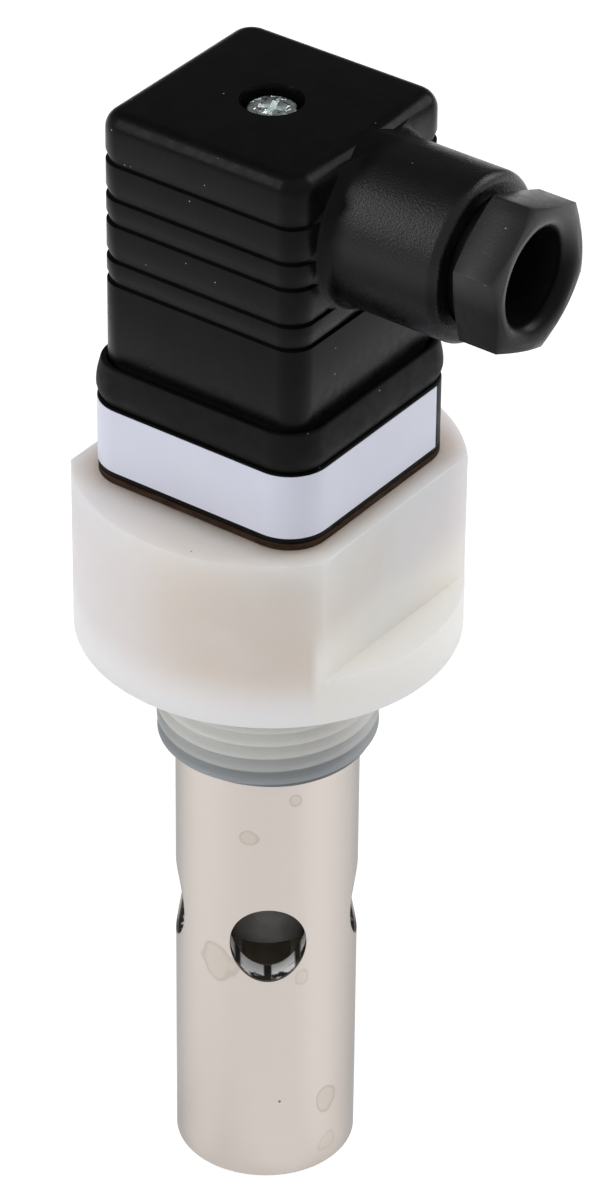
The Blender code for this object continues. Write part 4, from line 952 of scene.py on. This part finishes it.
hexagon = bmesh.new()
lift = Matrix.Translation((0, 0, NUT_BACK))
bmesh.ops.create_circle(hexagon, cap_ends=True, segments=6, radius=NUT_CORNER, matrix=lift)
turned(hexagon, math.radians(90))
rise(hexagon, hexagon.faces[:][0], NUT_FRONT)
bmesh.ops.recalc_face_normals(hexagon, faces=hexagon.faces)
nut = made("pressing_screw_nut", hexagon)
back = NUT_BACK - NUT_OVERRUN
front = NUT_FRONT + NUT_OVERRUN
carve(nut, spun([
    (0, back), (NUT_FLAT - NUT_BACK_INSET, back), (NUT_CORNER, NUT_BACK + NUT_CHAMFER / 2),
    (NUT_CORNER, NUT_FRONT - NUT_CHAMFER), (NUT_FLAT - NUT_FRONT_INSET, front), (0, front)], 128), "INTERSECT")
soften(nut, NUT_EDGE, 25)
carve(nut, rod_between(NUT_SHANK, NUT_SHANK_END, NUT_BACK + MM, 96), "UNION")
carve(nut, spun(
    [(0, NUT_SHANK_END - MM), (NUT_BORE, NUT_SHANK_END - MM), (NUT_BORE, NUT_FRONT - NUT_MOUTH_DEPTH)]
    + arc(NUT_MOUTH, NUT_FRONT - NUT_LIP, NUT_LIP, 180, 90, 10)
    + [(NUT_MOUTH, NUT_FRONT + MM), (0, NUT_FRONT + MM)], 96))
lay = Matrix.Rotation(NUT_TURN, 4, "X") @ Matrix.Rotation(math.pi / 2, 4, "Y")
nut.data.transform(Matrix.Translation((0, 0, GLAND_HEIGHT)) @ lay)
nut_black = black_moulding("black_nut_moulding", 0.002 * MM, 0.30)
dress(nut, nut_black, "pressing_screw", "black_plastic", "gland_nut")
paint_nodes(soft_black, "gland_grommet")
paint_nodes(zinc, "gland_washer")

# Studio: a pale floor under the tube, a soft pale room that is dark behind the probe, and two
# broad lamps. The floor shows white to the camera and keeps the shadow.
FLOOR_SIZE = 6.0
FLOOR_PALE = (0.90, 0.90, 0.90, 1)
FLOOR_GLOW = 0.42
SIDE_GLOW = 0.20
DARK_SIDE = (-0.48, 0.67, 0.56)
ROOM_PALE = (0.70, 0.70, 0.71)
ROOM_DARK = (0.13, 0.13, 0.135)
WHITE = (1.0, 1.0, 1.0)

ground = bmesh.new()
sunk = Matrix.Translation((0, 0, TUBE_END))
bmesh.ops.create_grid(ground, x_segments=1, y_segments=1, size=FLOOR_SIZE / 2, matrix=sunk)
floor = made("studio_floor", ground)
floor_paint, tree, shader = new_finish("pale_floor")
shader.inputs["Base Color"].default_value = FLOOR_PALE
shader.inputs["Roughness"].default_value = 0.9
shader.inputs["Specular IOR Level"].default_value = 0.0
shader.inputs["Emission Color"].default_value = (*WHITE, 1)
ray = node(tree, "LightPath").outputs
seen = reckoned(tree, "MAXIMUM", ray["Is Camera Ray"], ray["Is Glossy Ray"])
seen = reckoned(tree, "MAXIMUM", seen, ray["Is Transmission Ray"])
bearing = node(tree, "VectorMath", operation="NORMALIZE")
put(tree, levelled(tree, own_place(tree)), bearing.inputs[0])
sideways = aside(tree, bearing.outputs["Vector"], FRONT)
glow = ranged(tree, sideways, 0.5, 0.95, to_low=FLOOR_GLOW, to_high=FLOOR_GLOW + SIDE_GLOW)
put(tree, reckoned(tree, "MULTIPLY", seen, glow), shader.inputs["Emission Strength"])
floor.data.materials.append(floor_paint)

room = bpy.data.worlds.new("studio_room")
bpy.context.scene.world = room
room.use_nodes = True
tree = room.node_tree
sky = tree.nodes["Background"]
toward = measured(tree, node(tree, "TexCoord").outputs["Generated"], DARK_SIDE)
light = mixed(tree, ranged(tree, toward, 0.4, 0.85), ROOM_PALE, ROOM_DARK)
ray = node(tree, "LightPath").outputs
put(tree, mixed(tree, ray["Is Camera Ray"], light, WHITE), sky.inputs["Color"])
sky.inputs["Strength"].default_value = 1.0


def lamp(name, place, lean, wide, tall, power):
    """A soft oblong lamp that faces the middle of the probe, its long side along a direction."""
    data = bpy.data.lights.new(name, "AREA")
    data.shape = "RECTANGLE"
    data.size = wide
    data.size_y = tall
    data.energy = power
    new = bpy.data.objects.new(name, data)
    outward = Vector(place).normalized()
    across = Vector(lean).cross(outward).normalized()
    new.matrix_world = Matrix((across, outward.cross(across), outward)).transposed().to_4x4()
    new.location = place
    bpy.context.scene.collection.objects.link(new)


lamp("left_lamp", (-0.59, -0.74, 0.69), lean=(0, 0.68, 0.73), wide=0.25, tall=0.85, power=3.5)
lamp("right_back_lamp", (0.46, 1.0, 0.70), lean=(0, 0, 1), wide=0.7, tall=0.7, power=5.6)

# Camera: a long lens that looks down at the front corner of the plug, with the gland to the right.
ELEVATION = math.radians(34.22)
ROLL = math.radians(0.65)
LENS = 168.0
SENSOR = 36.0
CAMERA_PLACE = (4.27 * MM, 1.87 * MM, 656.38 * MM)

level = math.cos(ELEVATION)
back = Vector((level * math.sin(FRONT), -level * math.cos(FRONT), math.sin(ELEVATION)))
right = Vector((math.cos(FRONT), math.sin(FRONT), 0))
up = back.cross(right)
across = math.cos(ROLL) * right + math.sin(ROLL) * up
above = math.cos(ROLL) * up - math.sin(ROLL) * right
eye = bpy.data.cameras.new("photo_camera")
eye.lens = LENS
eye.sensor_width = SENSOR
eye.clip_start = 0.01
camera = bpy.data.objects.new("photo_camera", eye)
turn = Matrix((across, above, back)).transposed()
camera.matrix_world = Matrix.Translation(turn @ Vector(CAMERA_PLACE)) @ turn.to_4x4()
bpy.context.scene.collection.objects.link(camera)
bpy.context.scene.camera = camera
bpy.context.scene.view_settings.view_transform = "Standard"
